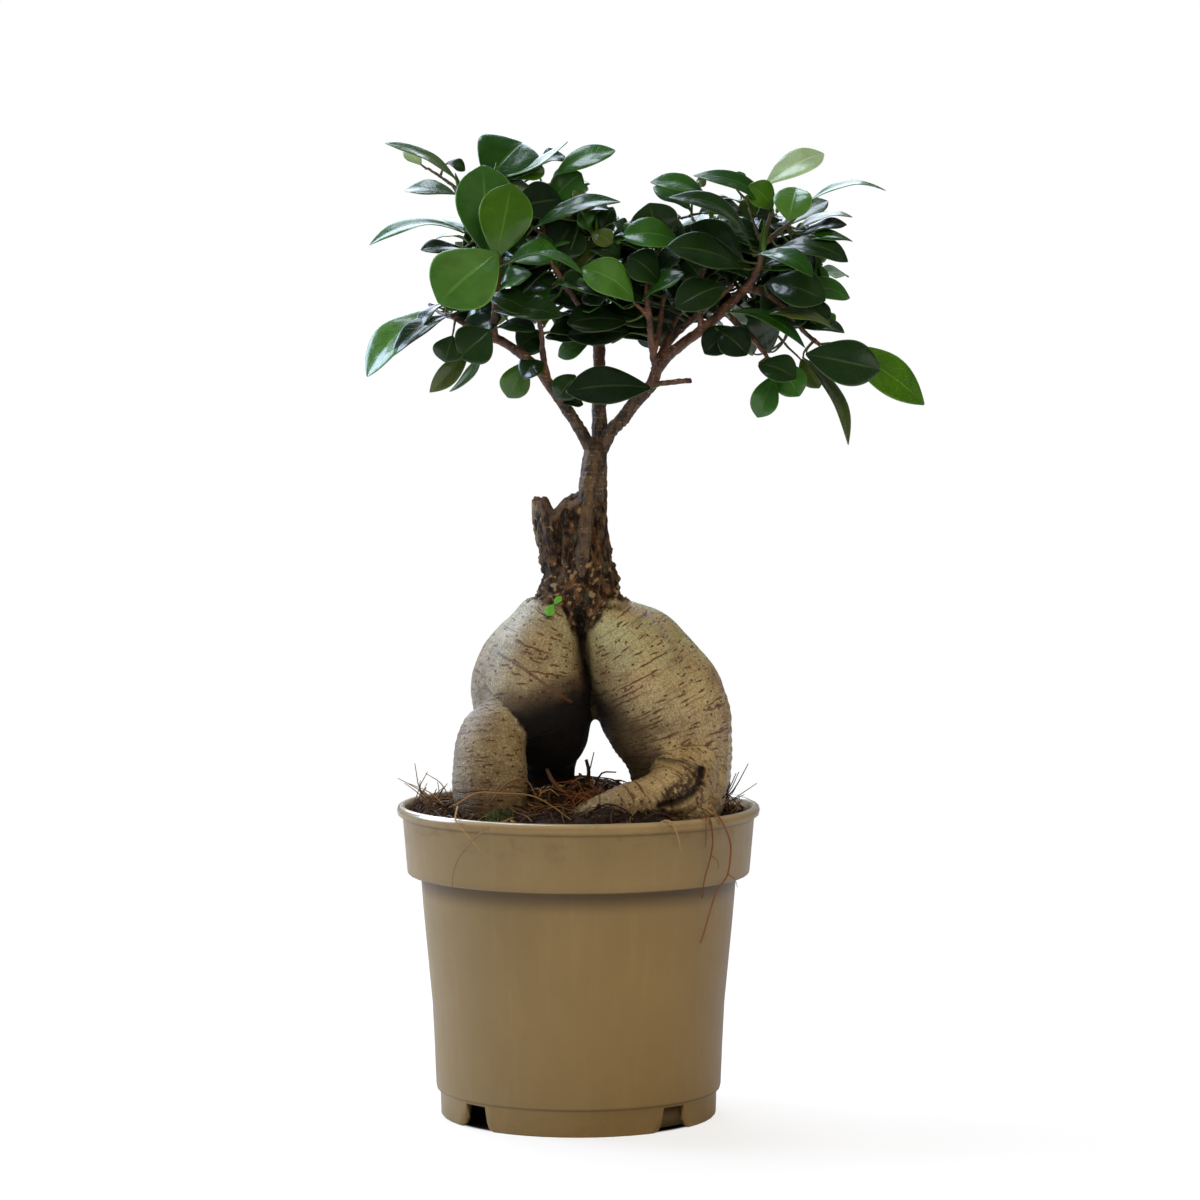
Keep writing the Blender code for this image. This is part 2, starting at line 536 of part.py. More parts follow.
def settled_leaf(row, placed):
    """The leaf's mesh, moved fore or aft by the least that keeps it clear of what is already there."""
    base, tip, width, facing, arch = row
    for attempt in range(2 * SETTLE_TRIES):
        shift = Vector((0, SETTLE_STEP * ((attempt + 1) // 2) * (-1) ** attempt, 0))
        shape = (Vector(base) + shift, Vector(tip) + shift, width, Vector(facing), arch)
        trial = leaf_bmesh(*shape, LEAF_THICKNESS + 0.1)
        tree = BVHTree.FromBMesh(trial)
        trial.free()
        if not any(tree.overlap(other) for other in placed):
            placed.append(tree)
            return leaf_bmesh(*shape, LEAF_THICKNESS), shift.y
    return None, None


def make_leaves(parts, scion):
    bm = bmesh.new()
    bm.from_mesh(scion.data)
    placed = [BVHTree.FromBMesh(bm)]
    bm.free()
    upper = material("leaf_green", (38, 74, 32), 0.3)
    for side, rows in (("left", LEFT_LEAVES), ("right", RIGHT_LEAVES)):
        for index, row in enumerate(rows, 1):
            name = f"leaf_{side}_{index:02d}"
            bm, moved = settled_leaf(row, placed)
            if bm is None:
                print("no room for", name)
                continue
            if abs(moved) > 3:
                print(name, "moved by", moved)
            add_mesh(name, from_bmesh(name, bm), parts, upper).data.shade_smooth()


# ---------------------------------------------------------------- whole plant


def centre_on_origin(parts, cutters):
    """Hangs parts and cutters on one empty and moves that so the origin lies under the box's middle."""
    holder = bpy.data.objects.new("plant", None)
    parts.objects.link(holder)
    bpy.context.view_layer.update()
    graph = bpy.context.evaluated_depsgraph_get()
    corners = []
    for obj in parts.objects:
        if obj.type == "MESH":
            corners += [vert.co.copy() for vert in obj.evaluated_get(graph).data.vertices]
    low = [min(corner[axis] for corner in corners) for axis in range(3)]
    high = [max(corner[axis] for corner in corners) for axis in range(3)]
    for obj in [*parts.objects, *cutters.objects]:
        if obj is not holder:
            obj.parent = holder
    holder.location = (-(low[0] + high[0]) / 2, -(low[1] + high[1]) / 2, -low[2])
    print("pot axis at", tuple(round(value * 1000, 3) for value in holder.location))
    print("size", tuple(round((top - bottom) * 1000, 1) for bottom, top in zip(low, high)))


def main():
    clear_scene()
    parts = new_collection("ginseng_ficus_bonsai")
    cutters = new_collection("cutters")
    make_pot(parts, cutters)
    caudex = make_caudex(parts, cutters)
    seat = swollen_copy(caudex, CLEARANCE, cutters)
    make_soil(parts, seat)
    scion = make_scion(parts, cutters, seat)
    make_leaves(parts, scion)
    centre_on_origin(parts, cutters)


main()
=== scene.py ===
# %% [markdown]
# # A ginseng ficus in its nursery pot
#
# This lesson dresses the imported model of a small bonsai: a ginseng ficus that stands in peat in a plastic
# nursery pot. The imported solids hold every size. Here they get bark, peat, roots and glossy leaves.
#
# ## Step 1: the frame
# The frame is the imported model, at its real size. A new piece takes its place from a solid of the frame,
# so nothing has to be fitted afterwards.

import math
import random

import bmesh
import bpy
import numpy as np
from mathutils import Matrix, Vector, noise
from mathutils.bvhtree import BVHTree


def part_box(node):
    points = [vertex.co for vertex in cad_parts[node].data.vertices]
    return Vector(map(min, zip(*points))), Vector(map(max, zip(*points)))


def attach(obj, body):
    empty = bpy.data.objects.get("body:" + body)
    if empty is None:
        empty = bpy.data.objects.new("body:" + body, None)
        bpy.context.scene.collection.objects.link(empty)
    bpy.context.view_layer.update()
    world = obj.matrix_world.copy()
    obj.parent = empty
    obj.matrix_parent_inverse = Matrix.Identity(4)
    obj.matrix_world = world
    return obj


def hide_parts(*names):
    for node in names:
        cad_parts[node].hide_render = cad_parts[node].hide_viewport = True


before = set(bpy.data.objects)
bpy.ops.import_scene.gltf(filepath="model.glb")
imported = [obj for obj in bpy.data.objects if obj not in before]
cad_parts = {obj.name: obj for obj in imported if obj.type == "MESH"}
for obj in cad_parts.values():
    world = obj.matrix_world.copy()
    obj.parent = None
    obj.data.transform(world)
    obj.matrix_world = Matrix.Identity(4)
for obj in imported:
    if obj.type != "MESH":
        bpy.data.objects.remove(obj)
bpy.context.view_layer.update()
print("solids in the frame:", len(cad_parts))

# %% [markdown]
# ## Step 2: a ruler
# A plant in a pot is easiest to describe round the pot's axis, in millimetres, with the front at -y. One
# helper turns such a place into metres in the frame. The pot's own box gives the axis and the rim.

# %% The pot's axis
MM = 0.001
pot_low, pot_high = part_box("pot")
AXIS = Vector(((pot_low.x + pot_high.x) / 2, (pot_low.y + pot_high.y) / 2, 0))
RIM_RADIUS = (pot_high.x - pot_low.x) / 2 / MM
RIM_TOP = pot_high.z / MM


def at(x, y, z):
    return AXIS + Vector((x, y, z)) * MM


def round_axis(radius, angle):
    """The x and y of a place that far from the axis, at that angle."""
    return radius * math.cos(angle), radius * math.sin(angle)


print(f"rim: radius {RIM_RADIUS:.1f} mm, top at {RIM_TOP:.1f} mm")

# %% [markdown]
# ## Step 3: the camera
# A long lens from a little above the crown shows the plant nearly from the side, as it is seen across a
# table: the rim of the pot is a narrow ellipse, and the peat shows only as a strip.

# %% Camera
CAMERA_ASIDE = 8.3  # the crown leans to the right of the pot
CAMERA_DISTANCE = 1620
CAMERA_HEIGHT = 304
LOOKS_DOWN = 3.725  # degrees
LENS = 126.8
SENSOR_WIDTH = 36
camera = bpy.data.objects.new("camera", bpy.data.cameras.new("camera"))
bpy.context.scene.collection.objects.link(camera)
camera.data.lens = LENS
camera.data.sensor_width = SENSOR_WIDTH
camera.location = at(CAMERA_ASIDE, -CAMERA_DISTANCE, CAMERA_HEIGHT)
camera.rotation_euler = (math.radians(90 - LOOKS_DOWN), 0, 0)
bpy.context.scene.camera = camera
bpy.context.scene.view_settings.view_transform = "Standard"
print("camera:", tuple(round(c, 3) for c in camera.location))

# %% [markdown]
# ## Step 4: shader sums
# Bark, peat and leaves all need masks, and masks are sums of patterns. Blender adds with Math nodes. Wiring
# them by hand hides the sum, so a small class wraps a socket and lets Python's own signs add the nodes.

# %% A socket that can be written in sums


class Sum:
    """The output of a node. Adding, multiplying or comparing it adds the Math node that does so."""

    def __init__(self, finish, plug):
        self.finish = finish
        self.plug = plug

    def maths(self, operation, *values):
        return self.finish.node("Math", {"operation": operation}, *values)

    def __add__(self, other):
        return self.maths("ADD", self, other)

    def __sub__(self, other):
        return self.maths("SUBTRACT", self, other)

    def __rsub__(self, other):
        return self.maths("SUBTRACT", other, self)

    def __mul__(self, other):
        return self.maths("MULTIPLY", self, other)

    def __pow__(self, other):
        return self.maths("POWER", self, other)

    def __gt__(self, other):
        return self.maths("GREATER_THAN", self, other)

    __radd__ = __add__
    __rmul__ = __mul__

    def or_more(self, other):
        """The larger of the two."""
        return self.maths("MAXIMUM", self, other)

    def again_and_again(self):
        """The part behind the decimal point: a ramp from 0 to 1 that starts over at each whole number."""
        return self.maths("FRACT", self)

    def away_from(self, middle):
        """How far the value is from the middle, without a sign."""
        return self.maths("ABSOLUTE", self - middle)

    def between(self, low, high):
        """0 below low, 1 above high and a smooth rise between; the other way round if low is the larger."""
        settings = {"interpolation_type": "SMOOTHSTEP", "clamp": True}
        if low < high:
            return self.finish.node("MapRange", settings, self, low, high, 0.0, 1.0)
        return self.finish.node("MapRange", settings, self, high, low, 1.0, 0.0)


print("signs that add nodes: + - * ** >")

# %% [markdown]
# The second class is a material in the making. It has one method that adds any node, and short names for
# the few patterns that a plant needs: noise, cells, stretched grain and a mix of two colours. Colours are
# given as the familiar 0 to 255 values and turned into light values once.

# %% A material in the making


def colour(red, green, blue):
    light = []
    for channel in (red / 255, green / 255, blue / 255):
        light.append(channel / 12.92 if channel <= 0.04045 else ((channel + 0.055) / 1.055) ** 2.4)
    return (*light, 1.0)


class Finish:
    """A material whose patterns are measured in millimetres of the object."""

    def __init__(self, name, roughness, specular=0.5):
        self.material = bpy.data.materials.new(name)
        self.material.use_nodes = True
        self.tree = self.material.node_tree
        self.shader = self.tree.nodes["Principled BSDF"]
        self.shader.inputs["Roughness"].default_value = roughness
        self.shader.inputs["Specular IOR Level"].default_value = specular

    def feed(self, socket, value):
        if isinstance(value, Sum):
            self.tree.links.new(value.plug, socket)
        elif value is not None:
            socket.default_value = value

    def node(self, kind, settings=None, *values, out=0, **named):
        made = self.tree.nodes.new("ShaderNode" + kind)
        for word, setting in (settings or {}).items():
            setattr(made, word, setting)
        for socket, value in zip(made.inputs, values):
            self.feed(socket, value)
        for word, value in named.items():
            self.feed(made.inputs[word], value)
        return Sum(self, made.outputs[out])

    def place(self, x=1.0, y=1.0, z=1.0):
        """The place on the object in millimetres, each axis divided by the number given."""
        where = self.node("TexCoord", out=3)
        scale = (1 / MM / x, 1 / MM / y, 1 / MM / z)
        return self.node("VectorMath", {"operation": "MULTIPLY"}, where, scale)

    def along_axis(self, axis):
        """The place along x, y or z only, in millimetres."""
        return self.node("SeparateXYZ", None, self.place(), out="xyz".index(axis))

    def stored(self, name):
        """A number that the mesh carries at each point."""
        return self.node("Attribute", {"attribute_name": name}, out=2)

    def stored_colour(self, name):
        """A colour that the mesh carries at each point."""
        return self.node("Attribute", {"attribute_name": name})

    def brightened(self, value, factor):
        return self.node("VectorMath", {"operation": "SCALE"}, value, Scale=factor)

    def vector(self, x, y, z=0.0):
        return self.node("CombineXYZ", None, x, y, z)

    def noise(self, where, detail=3.0, rough=0.55):
        return self.node("TexNoise", None, Vector=where, Scale=1.0, Detail=detail, Roughness=rough)

    def cells(self, where, out=0):
        """Flat cells. Output 0 is how far the nearest middle is, output 1 a colour drawn by the cell."""
        return self.node("TexVoronoi", {"voronoi_dimensions": "2D"}, out=out, Vector=where, Scale=1.0)

    def mix(self, mask, first, second, mode="MIX"):
        settings = {"data_type": "RGBA", "blend_type": mode}
        made = self.node("Mix", settings, mask, out=2)
        mixer = made.plug.node
        self.feed(mixer.inputs[6], first)
        self.feed(mixer.inputs[7], second)
        return made

    def finished(self, base, roughness=None, height=None, depth=0.0, coat=None):
        """Joins the patterns to the shader; depth is the bump's height in millimetres."""
        self.feed(self.shader.inputs["Base Color"], base)
        self.feed(self.shader.inputs["Roughness"], roughness)
        self.feed(self.shader.inputs["Coat Weight"], coat)
        if height is not None:
            bump = self.node("Bump", None, Strength=1.0, Distance=depth * MM, Height=height)
            self.feed(self.shader.inputs["Normal"], bump)
        return self.material


print("finishes are measured in units of", MM, "m")

# %% [markdown]
# ## Step 5: floor, backdrop and light
# A studio sweep is a floor that curves up into a wall, so no line shows where they meet. A grid whose rows
# climb a quarter circle makes it. For the camera part of its light is a steady white, so that it stays pale
# without more light on the plant, and the rest is the true surface, which keeps the shadow. Under the pot
# there is no such light and the paper is painted dark, a painted shadow, so the notches in its foot look in
# on darkness.

# %% The sweep
SWEEP_HALF_WIDTH = 9.0  # metres
SWEEP_FRONT = -9.0
SWEEP_BACK = 2.2
SWEEP_CURVE = 1.2
SWEEP_HEIGHT = 6.0
SWEEP_BENDS = 12
PAINTED_SHADOW_EDGE = (50.0, 53.0)  # millimetres from the axis over which the painted shadow under the pot ends and the steady light begins
FULL_LIGHT = (160.0, 900.0)  # and over which it grows to all of its strength


def sweep_profile():
    points = [(SWEEP_FRONT, 0.0), (SWEEP_BACK, 0.0)]
    for step in range(1, SWEEP_BENDS + 1):
        angle = math.pi / 2 * step / SWEEP_BENDS
        points.append((SWEEP_BACK + SWEEP_CURVE * math.sin(angle), SWEEP_CURVE * (1 - math.cos(angle))))
    points.append((SWEEP_BACK + SWEEP_CURVE, SWEEP_HEIGHT))
    return points


bm = bmesh.new()
sides = (-SWEEP_HALF_WIDTH, SWEEP_HALF_WIDTH)
rows = [[bm.verts.new((x, y, z)) for x in sides] for y, z in sweep_profile()]
for low, high in zip(rows, rows[1:]):
    bm.faces.new((low[0], low[1], high[1], high[0]))
sweep_mesh = bpy.data.meshes.new("sweep")
bm.to_mesh(sweep_mesh)
bm.free()
sweep_mesh.shade_smooth()
sweep = bpy.data.objects.new("sweep", sweep_mesh)
sweep.location = AXIS
bpy.context.scene.collection.objects.link(sweep)

paper = Finish("paper", 0.9)
seen = paper.node("LightPath")
from_pot = paper.node("VectorMath", {"operation": "LENGTH"}, paper.place(), out=1)
# Painted shadow: the paper under the pot's foot is painted dark and gets none of the steady light.
outside_foot = from_pot.between(*PAINTED_SHADOW_EDGE)
paper_with_painted_shadow = paper.mix(outside_foot, colour(40, 34, 26), colour(236, 236, 236))
paper.feed(paper.shader.inputs["Base Color"], paper_with_painted_shadow)
steady = paper.node("Emission", None, colour(255, 255, 255), 1.0)
lit = outside_foot * (0.72 + 0.28 * from_pot.between(*FULL_LIGHT))
sheet = paper.node("MixShader", None, seen * lit, Sum(paper, paper.shader.outputs[0]), steady)
paper.feed(paper.tree.nodes["Material Output"].inputs["Surface"], sheet)
sweep_mesh.materials.append(paper.material)
print("sweep reaches", SWEEP_BACK + SWEEP_CURVE, "m back")

# %% [markdown]
# A plant on a sill is lit by the sky behind it: leaves seen at a flat angle shine pale blue, and the left
# edges of pot and bulbs are rimmed with it, while the leaves that face the room stay deep and dull. Cool
# lamps behind and above do the shining. The lamps in front only fill, so they leave no highlights.

# %% Lamps and sky
LAMPS_AIM = (0, 0, 190)
SKY_STRENGTH = 0.1


def soft_lamp(name, place, size, watts, tint, shines=True):
    lamp = bpy.data.objects.new(name, bpy.data.lights.new(name, "AREA"))
    bpy.context.scene.collection.objects.link(lamp)
    lamp.data.shape = "DISK"
    lamp.data.size = size
    lamp.data.energy = watts
    lamp.data.color = colour(*tint)[:3]
    lamp.location = at(*place)
    aim = at(*LAMPS_AIM) - lamp.location
    lamp.rotation_euler = aim.to_track_quat("-Z", "Y").to_euler()
    lamp.visible_glossy = shines
    return lamp


soft_lamp("sky_left", (-1250, 450, 800), 0.9, 29, (208, 226, 255))
soft_lamp("sky_behind", (-320, 1130, 1150), 1.3, 26, (222, 235, 255))
soft_lamp("sky_above", (-350, 250, 1700), 0.6, 10, (226, 238, 255))
soft_lamp("room_front", (550, -1150, 1400), 1.4, 27, (255, 239, 214), shines=False)
soft_lamp("room_fill", (-900, -1400, 500), 1.5, 5, (255, 250, 240), shines=False)

world = bpy.data.worlds.new("sky")
bpy.context.scene.world = world
world.use_nodes = True
sky = world.node_tree.nodes["Background"]
sky.inputs["Color"].default_value = colour(235, 241, 250)
sky.inputs["Strength"].default_value = SKY_STRENGTH

# %% [markdown]
# ## Step 6: making pieces
# Every piece is a mesh that rides on the plant's one body, is named and gets its material, and the solid
# it stands for, if there is one, is hidden. One helper does this for all of them.

# %% A piece on the plant


def new_piece(name, mesh, material, node=None):
    piece = bpy.data.objects.new(name, mesh)
    bpy.context.scene.collection.objects.link(piece)
    mesh.materials.clear()
    mesh.materials.append(material)
    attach(piece, "root")
    if node:
        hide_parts(node)
    return piece


def mesh_from(name, bm):
    bmesh.ops.recalc_face_normals(bm, faces=bm.faces)
    mesh = bpy.data.meshes.new(name)
    bm.to_mesh(mesh)
    bm.free()
    mesh.shade_smooth()
    return mesh


print("a piece rides on root and fills a material slot")

# %% [markdown]
# Grown things have no seams. Bodies that overlap are melted into one skin by a voxel remesh, which is then
# smoothed a little, as a child's clay pieces are rubbed together. A mesh of even, small faces comes out.

# %% One skin


def melted(name, bm, voxel, smoothing):
    """The bodies in bm melted into one skin, at that voxel size in millimetres, and smoothed."""
    mesh = bpy.data.meshes.new(name)
    bm.to_mesh(mesh)
    bm.free()
    helper = bpy.data.objects.new(name, mesh)
    bpy.context.scene.collection.objects.link(helper)
    melt = helper.modifiers.new("Melt", "REMESH")
    melt.mode = "VOXEL"
    melt.voxel_size = voxel * MM
    soften = helper.modifiers.new("Soften", "SMOOTH")
    soften.factor = 0.5
    soften.iterations = smoothing
    graph = bpy.context.evaluated_depsgraph_get()
    result = bpy.data.meshes.new_from_object(helper.evaluated_get(graph))
    bpy.data.objects.remove(helper)
    result.shade_smooth()
    return result


print("a skin is smoothed after it is melted")

# %% [markdown]
# Relief is easiest to write for all the points of a mesh at once, as arrays: noise, smooth rises from 0 to
# 1, and numbers that are stored on the mesh, so that a finish can read them again.

# %% All points of a mesh


def points_of(mesh, what="co"):
    """The mesh's points in millimetres round the pot's axis, or its normals."""
    flat = np.empty(len(mesh.vertices) * 3, np.float32)
    mesh.vertices.foreach_get(what, flat)
    found = flat.reshape(-1, 3).astype(float)
    return found if what == "normal" else (found - np.array(AXIS)) / MM


def put_points(mesh, points):
    flat = (points * MM + np.array(AXIS)).astype(np.float32)
    mesh.vertices.foreach_set("co", flat.ravel())
    mesh.update()


def store(mesh, name, values):
    attribute = mesh.attributes.new(name, "FLOAT", "POINT")
    attribute.data.foreach_set("value", np.asarray(values, np.float32))


def noise_at(points, size, seed=0.0):
    """Smooth noise from about -1 to 1 at each point, with features of that size in millimetres."""
    return np.array([noise.noise(Vector(point) / size + Vector((seed, 0, 0))) for point in points])


def rise(values, low, high):
    """0 below low, 1 above high, and a smooth rise between."""
    share = np.clip((values - low) / (high - low), 0, 1)
    return share * share * (3 - 2 * share)


def bell(values, middle, reach):
    """1 where the value is the middle one, falling off to both sides."""
    return np.exp(-((values - middle) / reach) ** 2)


print("half way up a rise:", rise(0.5, 0, 1))

# %% [markdown]
# Stems, stalks, roots and fibres are tubes. Each follows a smooth run through a few points, and its rings
# keep their turn from one to the next, so that the tube doesn't wring.

# %% Runs and tubes


def curve_through(points, steps):
    """A smooth run through points that are tuples of numbers (Catmull-Rom)."""
    rows = [np.array(point, float) for point in points]
    rows = [2 * rows[0] - rows[1], *rows, 2 * rows[-1] - rows[-2]]
    run = []
    for a, b, c, d in zip(rows, rows[1:], rows[2:], rows[3:]):
        for step in range(steps):
            t = step / steps
            run.append(0.5 * (2 * b + (c - a) * t + (2 * a - 5 * b + 4 * c - d) * t ** 2
                              + (3 * b - a - 3 * c + d) * t ** 3))
    run.append(rows[-2])
    return run


def tapered(start, stop, run):
    """A radius for each point of the run, from start to stop in even steps."""
    return [start + (stop - start) * index / (len(run) - 1) for index in range(len(run))]


def add_tube(bm, run, radii, sides, layers=()):
    """A closed tube along the run, in millimetres. layers is [(layer, value)] for its points."""
    rings = []
    places = [Vector(point[:3]) for point in run]
    across = None
    for index, place in enumerate(places):
        ahead = places[min(index + 1, len(places) - 1)] - places[max(index - 1, 0)]
        ahead.normalize()
        if across is None:
            across = ahead.orthogonal().normalized()
        across = (across - ahead * across.dot(ahead)).normalized()
        beside = ahead.cross(across)
        ring = []
        for side in range(sides):
            angle = 2 * math.pi * side / sides
            offset = (across * math.cos(angle) + beside * math.sin(angle)) * radii[index]
            ring.append(bm.verts.new(at(*(place + offset))))
        rings.append(ring)
    for first, second in zip(rings, rings[1:]):
        for side in range(sides):
            after = (side + 1) % sides
            bm.faces.new((first[side], first[after], second[after], second[side]))
    bm.faces.new(rings[0][::-1])
    bm.faces.new(rings[-1])
    for ring in rings:
        for vert in ring:
            for layer, value in layers:
                vert[layer] = value


print("points on a run through three places:", len(curve_through(((0,), (1,), (2,)), 5)))

# %% [markdown]
# ## Step 7: the pot
# The pot is thin moulded polypropylene in a dull taupe: a rolled rim, a deep collar, and a body that
# tapers to a foot with four notches. Its solid already has that shape, so the piece is a copy of it, with
# doubled points merged, the step under the collar squared up and only its true corners left sharp.
#
# The plastic carries fine moulding grain, faint streaks down the wall and paler worn edges. Dried soil sits
# under the rim and round the foot. Dark lines of painted shade run along the steps under the rim's bead,
# under the collar and at the foot, and the wall right under the collar carries a painted shade.

# %% Plastic
POT_SHADE_LINES = ((RIM_TOP - 4.6, 0.9), (93.2, 1.0), (10.4, 0.8))  # heights of the painted shade lines at the steps, and half widths
COLLAR_STEPS = ((88.0, 92.0, 2.8), (94.4, 96.0, -1.1))  # heights between which points move, and how far
SHARP_FROM = 38  # degrees


def pot_plastic(name, shade):
    finish = Finish(name, 0.5, specular=0.22)
    finish.shader.inputs["Coat Roughness"].default_value = 0.16
    height = finish.along_axis("z")
    cloudy = finish.noise(finish.place(26, 26, 34), 3.0)
    streaks = finish.noise(finish.place(5, 5, 60), 3.0, 0.6)
    specks = finish.noise(finish.place(0.9, 0.9, 0.9), 2.0).between(0.66, 0.74)
    dusty = finish.noise(finish.place(9, 9, 5), 4.0, 0.65)
    base = finish.mix(cloudy, colour(113, 92, 56), colour(126, 104, 65))
    base = finish.mix(streaks.between(0.5, 0.8) * 0.12, base, colour(148, 130, 96))
    worn = height.between(RIM_TOP - 2.2, RIM_TOP - 0.4) * 0.45
    base = finish.mix(worn, base, colour(160, 146, 116))
    # Painted shade: the wall right under the collar is painted darker.
    painted_shade_under_collar = height.between(84.0, 92.6) * height.between(93.8, 93.4)
    base = finish.mix(painted_shade_under_collar * 0.75, base, colour(62, 44, 25))
    # Painted shade: a dark line is painted along each step of the pot.
    for shade_line, half_width in POT_SHADE_LINES:
        base = finish.mix(height.away_from(shade_line).between(half_width, 0.1) * 0.45, base, colour(66, 50, 29))
    under_rim = height.between(RIM_TOP - 22, RIM_TOP - 4) * dusty.between(0.52, 0.72) * 0.35
    foot = height.between(9.0, 1.0) * dusty.between(0.42, 0.7) * 0.2
    base = finish.mix(under_rim.or_more(foot), base, colour(86, 66, 44))
    base = finish.mix(specks * 0.25, base, colour(88, 72, 50))
    # Painted light: the collar is painted a little lighter, and the foot ring below its step is lighter as
    # well.
    base = finish.brightened(base, 1 + height.between(10.4, 9.6) * 0.16 + height.between(94.2, 97.0) * 0.08)
    # A shade below 1 paints the plastic darker, a painted shade.
    base = finish.brightened(base, shade)
    rough = 0.44 + streaks * 0.12 + dusty * 0.1 - height.between(RIM_TOP - 2.4, RIM_TOP - 0.6) * 0.2
    grain = finish.noise(finish.place(0.5, 0.5, 0.5), 2.0)
    grain = grain + finish.noise(finish.place(7, 7, 22), 1.0) * 4.0
    rim = height.between(RIM_TOP - 3.0, RIM_TOP - 0.8)
    return finish.finished(base, rough, grain, 0.05, coat=rim)


pot_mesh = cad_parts["pot"].data.copy()
bm = bmesh.new()
bm.from_mesh(pot_mesh)
bmesh.ops.remove_doubles(bm, verts=bm.verts, dist=0.01 * MM)
for vert in bm.verts:
    height = vert.co.z / MM
    vert.co.z += MM * sum(lift for low, high, lift in COLLAR_STEPS if low < height < high)
pot_mesh = mesh_from("nursery_pot", bm)
pot_mesh.set_sharp_from_angle(angle=math.radians(SHARP_FROM))
new_piece("nursery_pot", pot_mesh, pot_plastic("pot_plastic", 1.0), "pot")
print("pot points:", len(pot_mesh.vertices))

# %% [markdown]
# Three of the four notches look in on the dark hollow under the pot's floor. Behind the one at the front
# right stands a wall, so it shows dim plastic: its plastic is painted dark, a painted shade. The wall is a
# short strip bent round the axis.

# %% The wall behind a notch
NOTCH_TURN = 313  # the direction of that notch in degrees from +x
NOTCH_WALL = ((50.7, 1.4), (50.7, 10.0), (49.6, 10.0), (49.6, 1.4))  # radius and height of its corners
NOTCH_WALL_STEPS = 14  # of two degrees each


def notch_wall():
    """The section of the wall, swept round the axis from one side of the notch to the other."""
    bm = bmesh.new()
    sections = []
    for step in range(NOTCH_WALL_STEPS + 1):
        turn = math.radians(NOTCH_TURN - NOTCH_WALL_STEPS + 2 * step)
        ring = [bm.verts.new(at(*round_axis(radius, turn), height)) for radius, height in NOTCH_WALL]
        sections.append(ring)
    for first, second in zip(sections, sections[1:]):
        for corner in range(4):
            following = (corner + 1) % 4
            bm.faces.new((first[corner], second[corner], second[following], first[following]))
    bm.faces.new(sections[0])
    bm.faces.new(sections[-1][::-1])
    return mesh_from("notch_wall", bm)


# The wall's plastic is painted dark, a painted shade.
new_piece("notch_wall", notch_wall(), pot_plastic("pot_plastic_painted_shade", 0.34))
print("notch wall at", NOTCH_TURN, "degrees")

# %% [markdown]
# ## Step 8: the caudex
# The swollen base of a ginseng ficus is one body: two bulbs that stand like legs, a smaller leg in front,
# a root that creeps forward, and a rough neck where the stump was sawn. The solid has those forms. A voxel
# remesh gives it even, small faces, and those can be moved by noise, which a coarse mesh can't.
#
# The marks on the bark run round each limb, so the mesh also stores for each point how far along its limb
# it lies and how far round it. The limbs' middle lines are short lists of points with a radius.

# %% The caudex's limbs
GRAIN_LINES = {
    "right": ((6, 0, 202, 8), (21, 0, 178, 18), (31, 0, 159, 25), (38, 0, 139, 21), (39, 0, 108, 15)),
    "foot": ((42, -12, 138, 10), (40, -22, 130, 12), (19, -36, 121, 10), (-2, -38, 117, 5)),
    "heel": ((48, -10, 134, 9), (49, -18, 125, 8), (43, -35, 112, 6)),
    "left": ((-4, 0, 202, 8), (-16, -1, 176, 21), (-18, 0, 163, 23), (-14, 9, 143, 17), (-14, 14, 108, 11)),
    "leg": ((-34, -12, 163, 5), (-34, -16, 149, 12), (-33, -21, 126, 14), (-33, -21, 108, 13)),
    "neck": ((1, 0, 198, 14), (0, 0, 211, 13), (-3, 0, 240, 15)),
}


def grain(points):
    """For each point: its limb's number, and how far along the limb and how far round it the point lies."""
    best = np.full(len(points), 1e9)
    limb, along, around = np.zeros(len(points)), np.zeros(len(points)), np.zeros(len(points))
    for number, line in enumerate(GRAIN_LINES.values()):
        run = np.array(curve_through(line, 7))
        places, radii = run[:, :3], run[:, 3]
        steps = np.diff(places, axis=0)
        gone = np.concatenate(([0.0], np.cumsum(np.linalg.norm(steps, axis=1))))
        ahead = np.gradient(places, axis=0)
        ahead /= np.linalg.norm(ahead, axis=1)[:, None]
        apart = np.linalg.norm(points[:, None, :] - places, axis=2)
        outside = (apart - radii).min(axis=1)
        weight = np.exp((apart.min(axis=1)[:, None] - apart) / 2.5)
        weight /= weight.sum(axis=1)[:, None]
        middle, direction = weight @ places, weight @ ahead
        direction /= np.linalg.norm(direction, axis=1)[:, None]
        spoke = points - middle
        reach = (spoke * direction).sum(axis=1)
        spoke -= direction * reach[:, None]
        front = np.array((0.0, -1.0, 0.0)) + direction * direction[:, 1:2]
        front /= np.linalg.norm(front, axis=1)[:, None]
        sideways = np.cross(direction, front)
        angle = np.arctan2((spoke * sideways).sum(axis=1), (spoke * front).sum(axis=1))
        nearer = outside < best
        best[nearer] = outside[nearer]
        limb[nearer] = number
        along[nearer] = (weight @ gone + reach)[nearer]
        around[nearer] = (angle * radii.mean())[nearer]
    return limb, along, around


print("limbs:", ", ".join(GRAIN_LINES))

# %% [markdown]
# The neck is what is left of the rootstock's own stem. Its bark is dark and warty and runs down in a tongue
# between the bulbs. The saw cut is not flat: a knob stands on its left, then a notch, then a rotted mass
# with the graft in it. All of that is relief of a few millimetres, so it is moved in the mesh.
#
# Where two limbs meet, the solid has a sharp step, and a plant has a soft fold there. The points near a
# fold are drawn towards their neighbours many times, as a thumb would rub it.

# %% Folds
FOLDS = ((27, -20, 150, 12), (12, -14, 150, 7), (5.5, -13, 156, 6), (-33, -24, 154, 5))  # x, y, z and reach
EASING_ROUNDS = 160


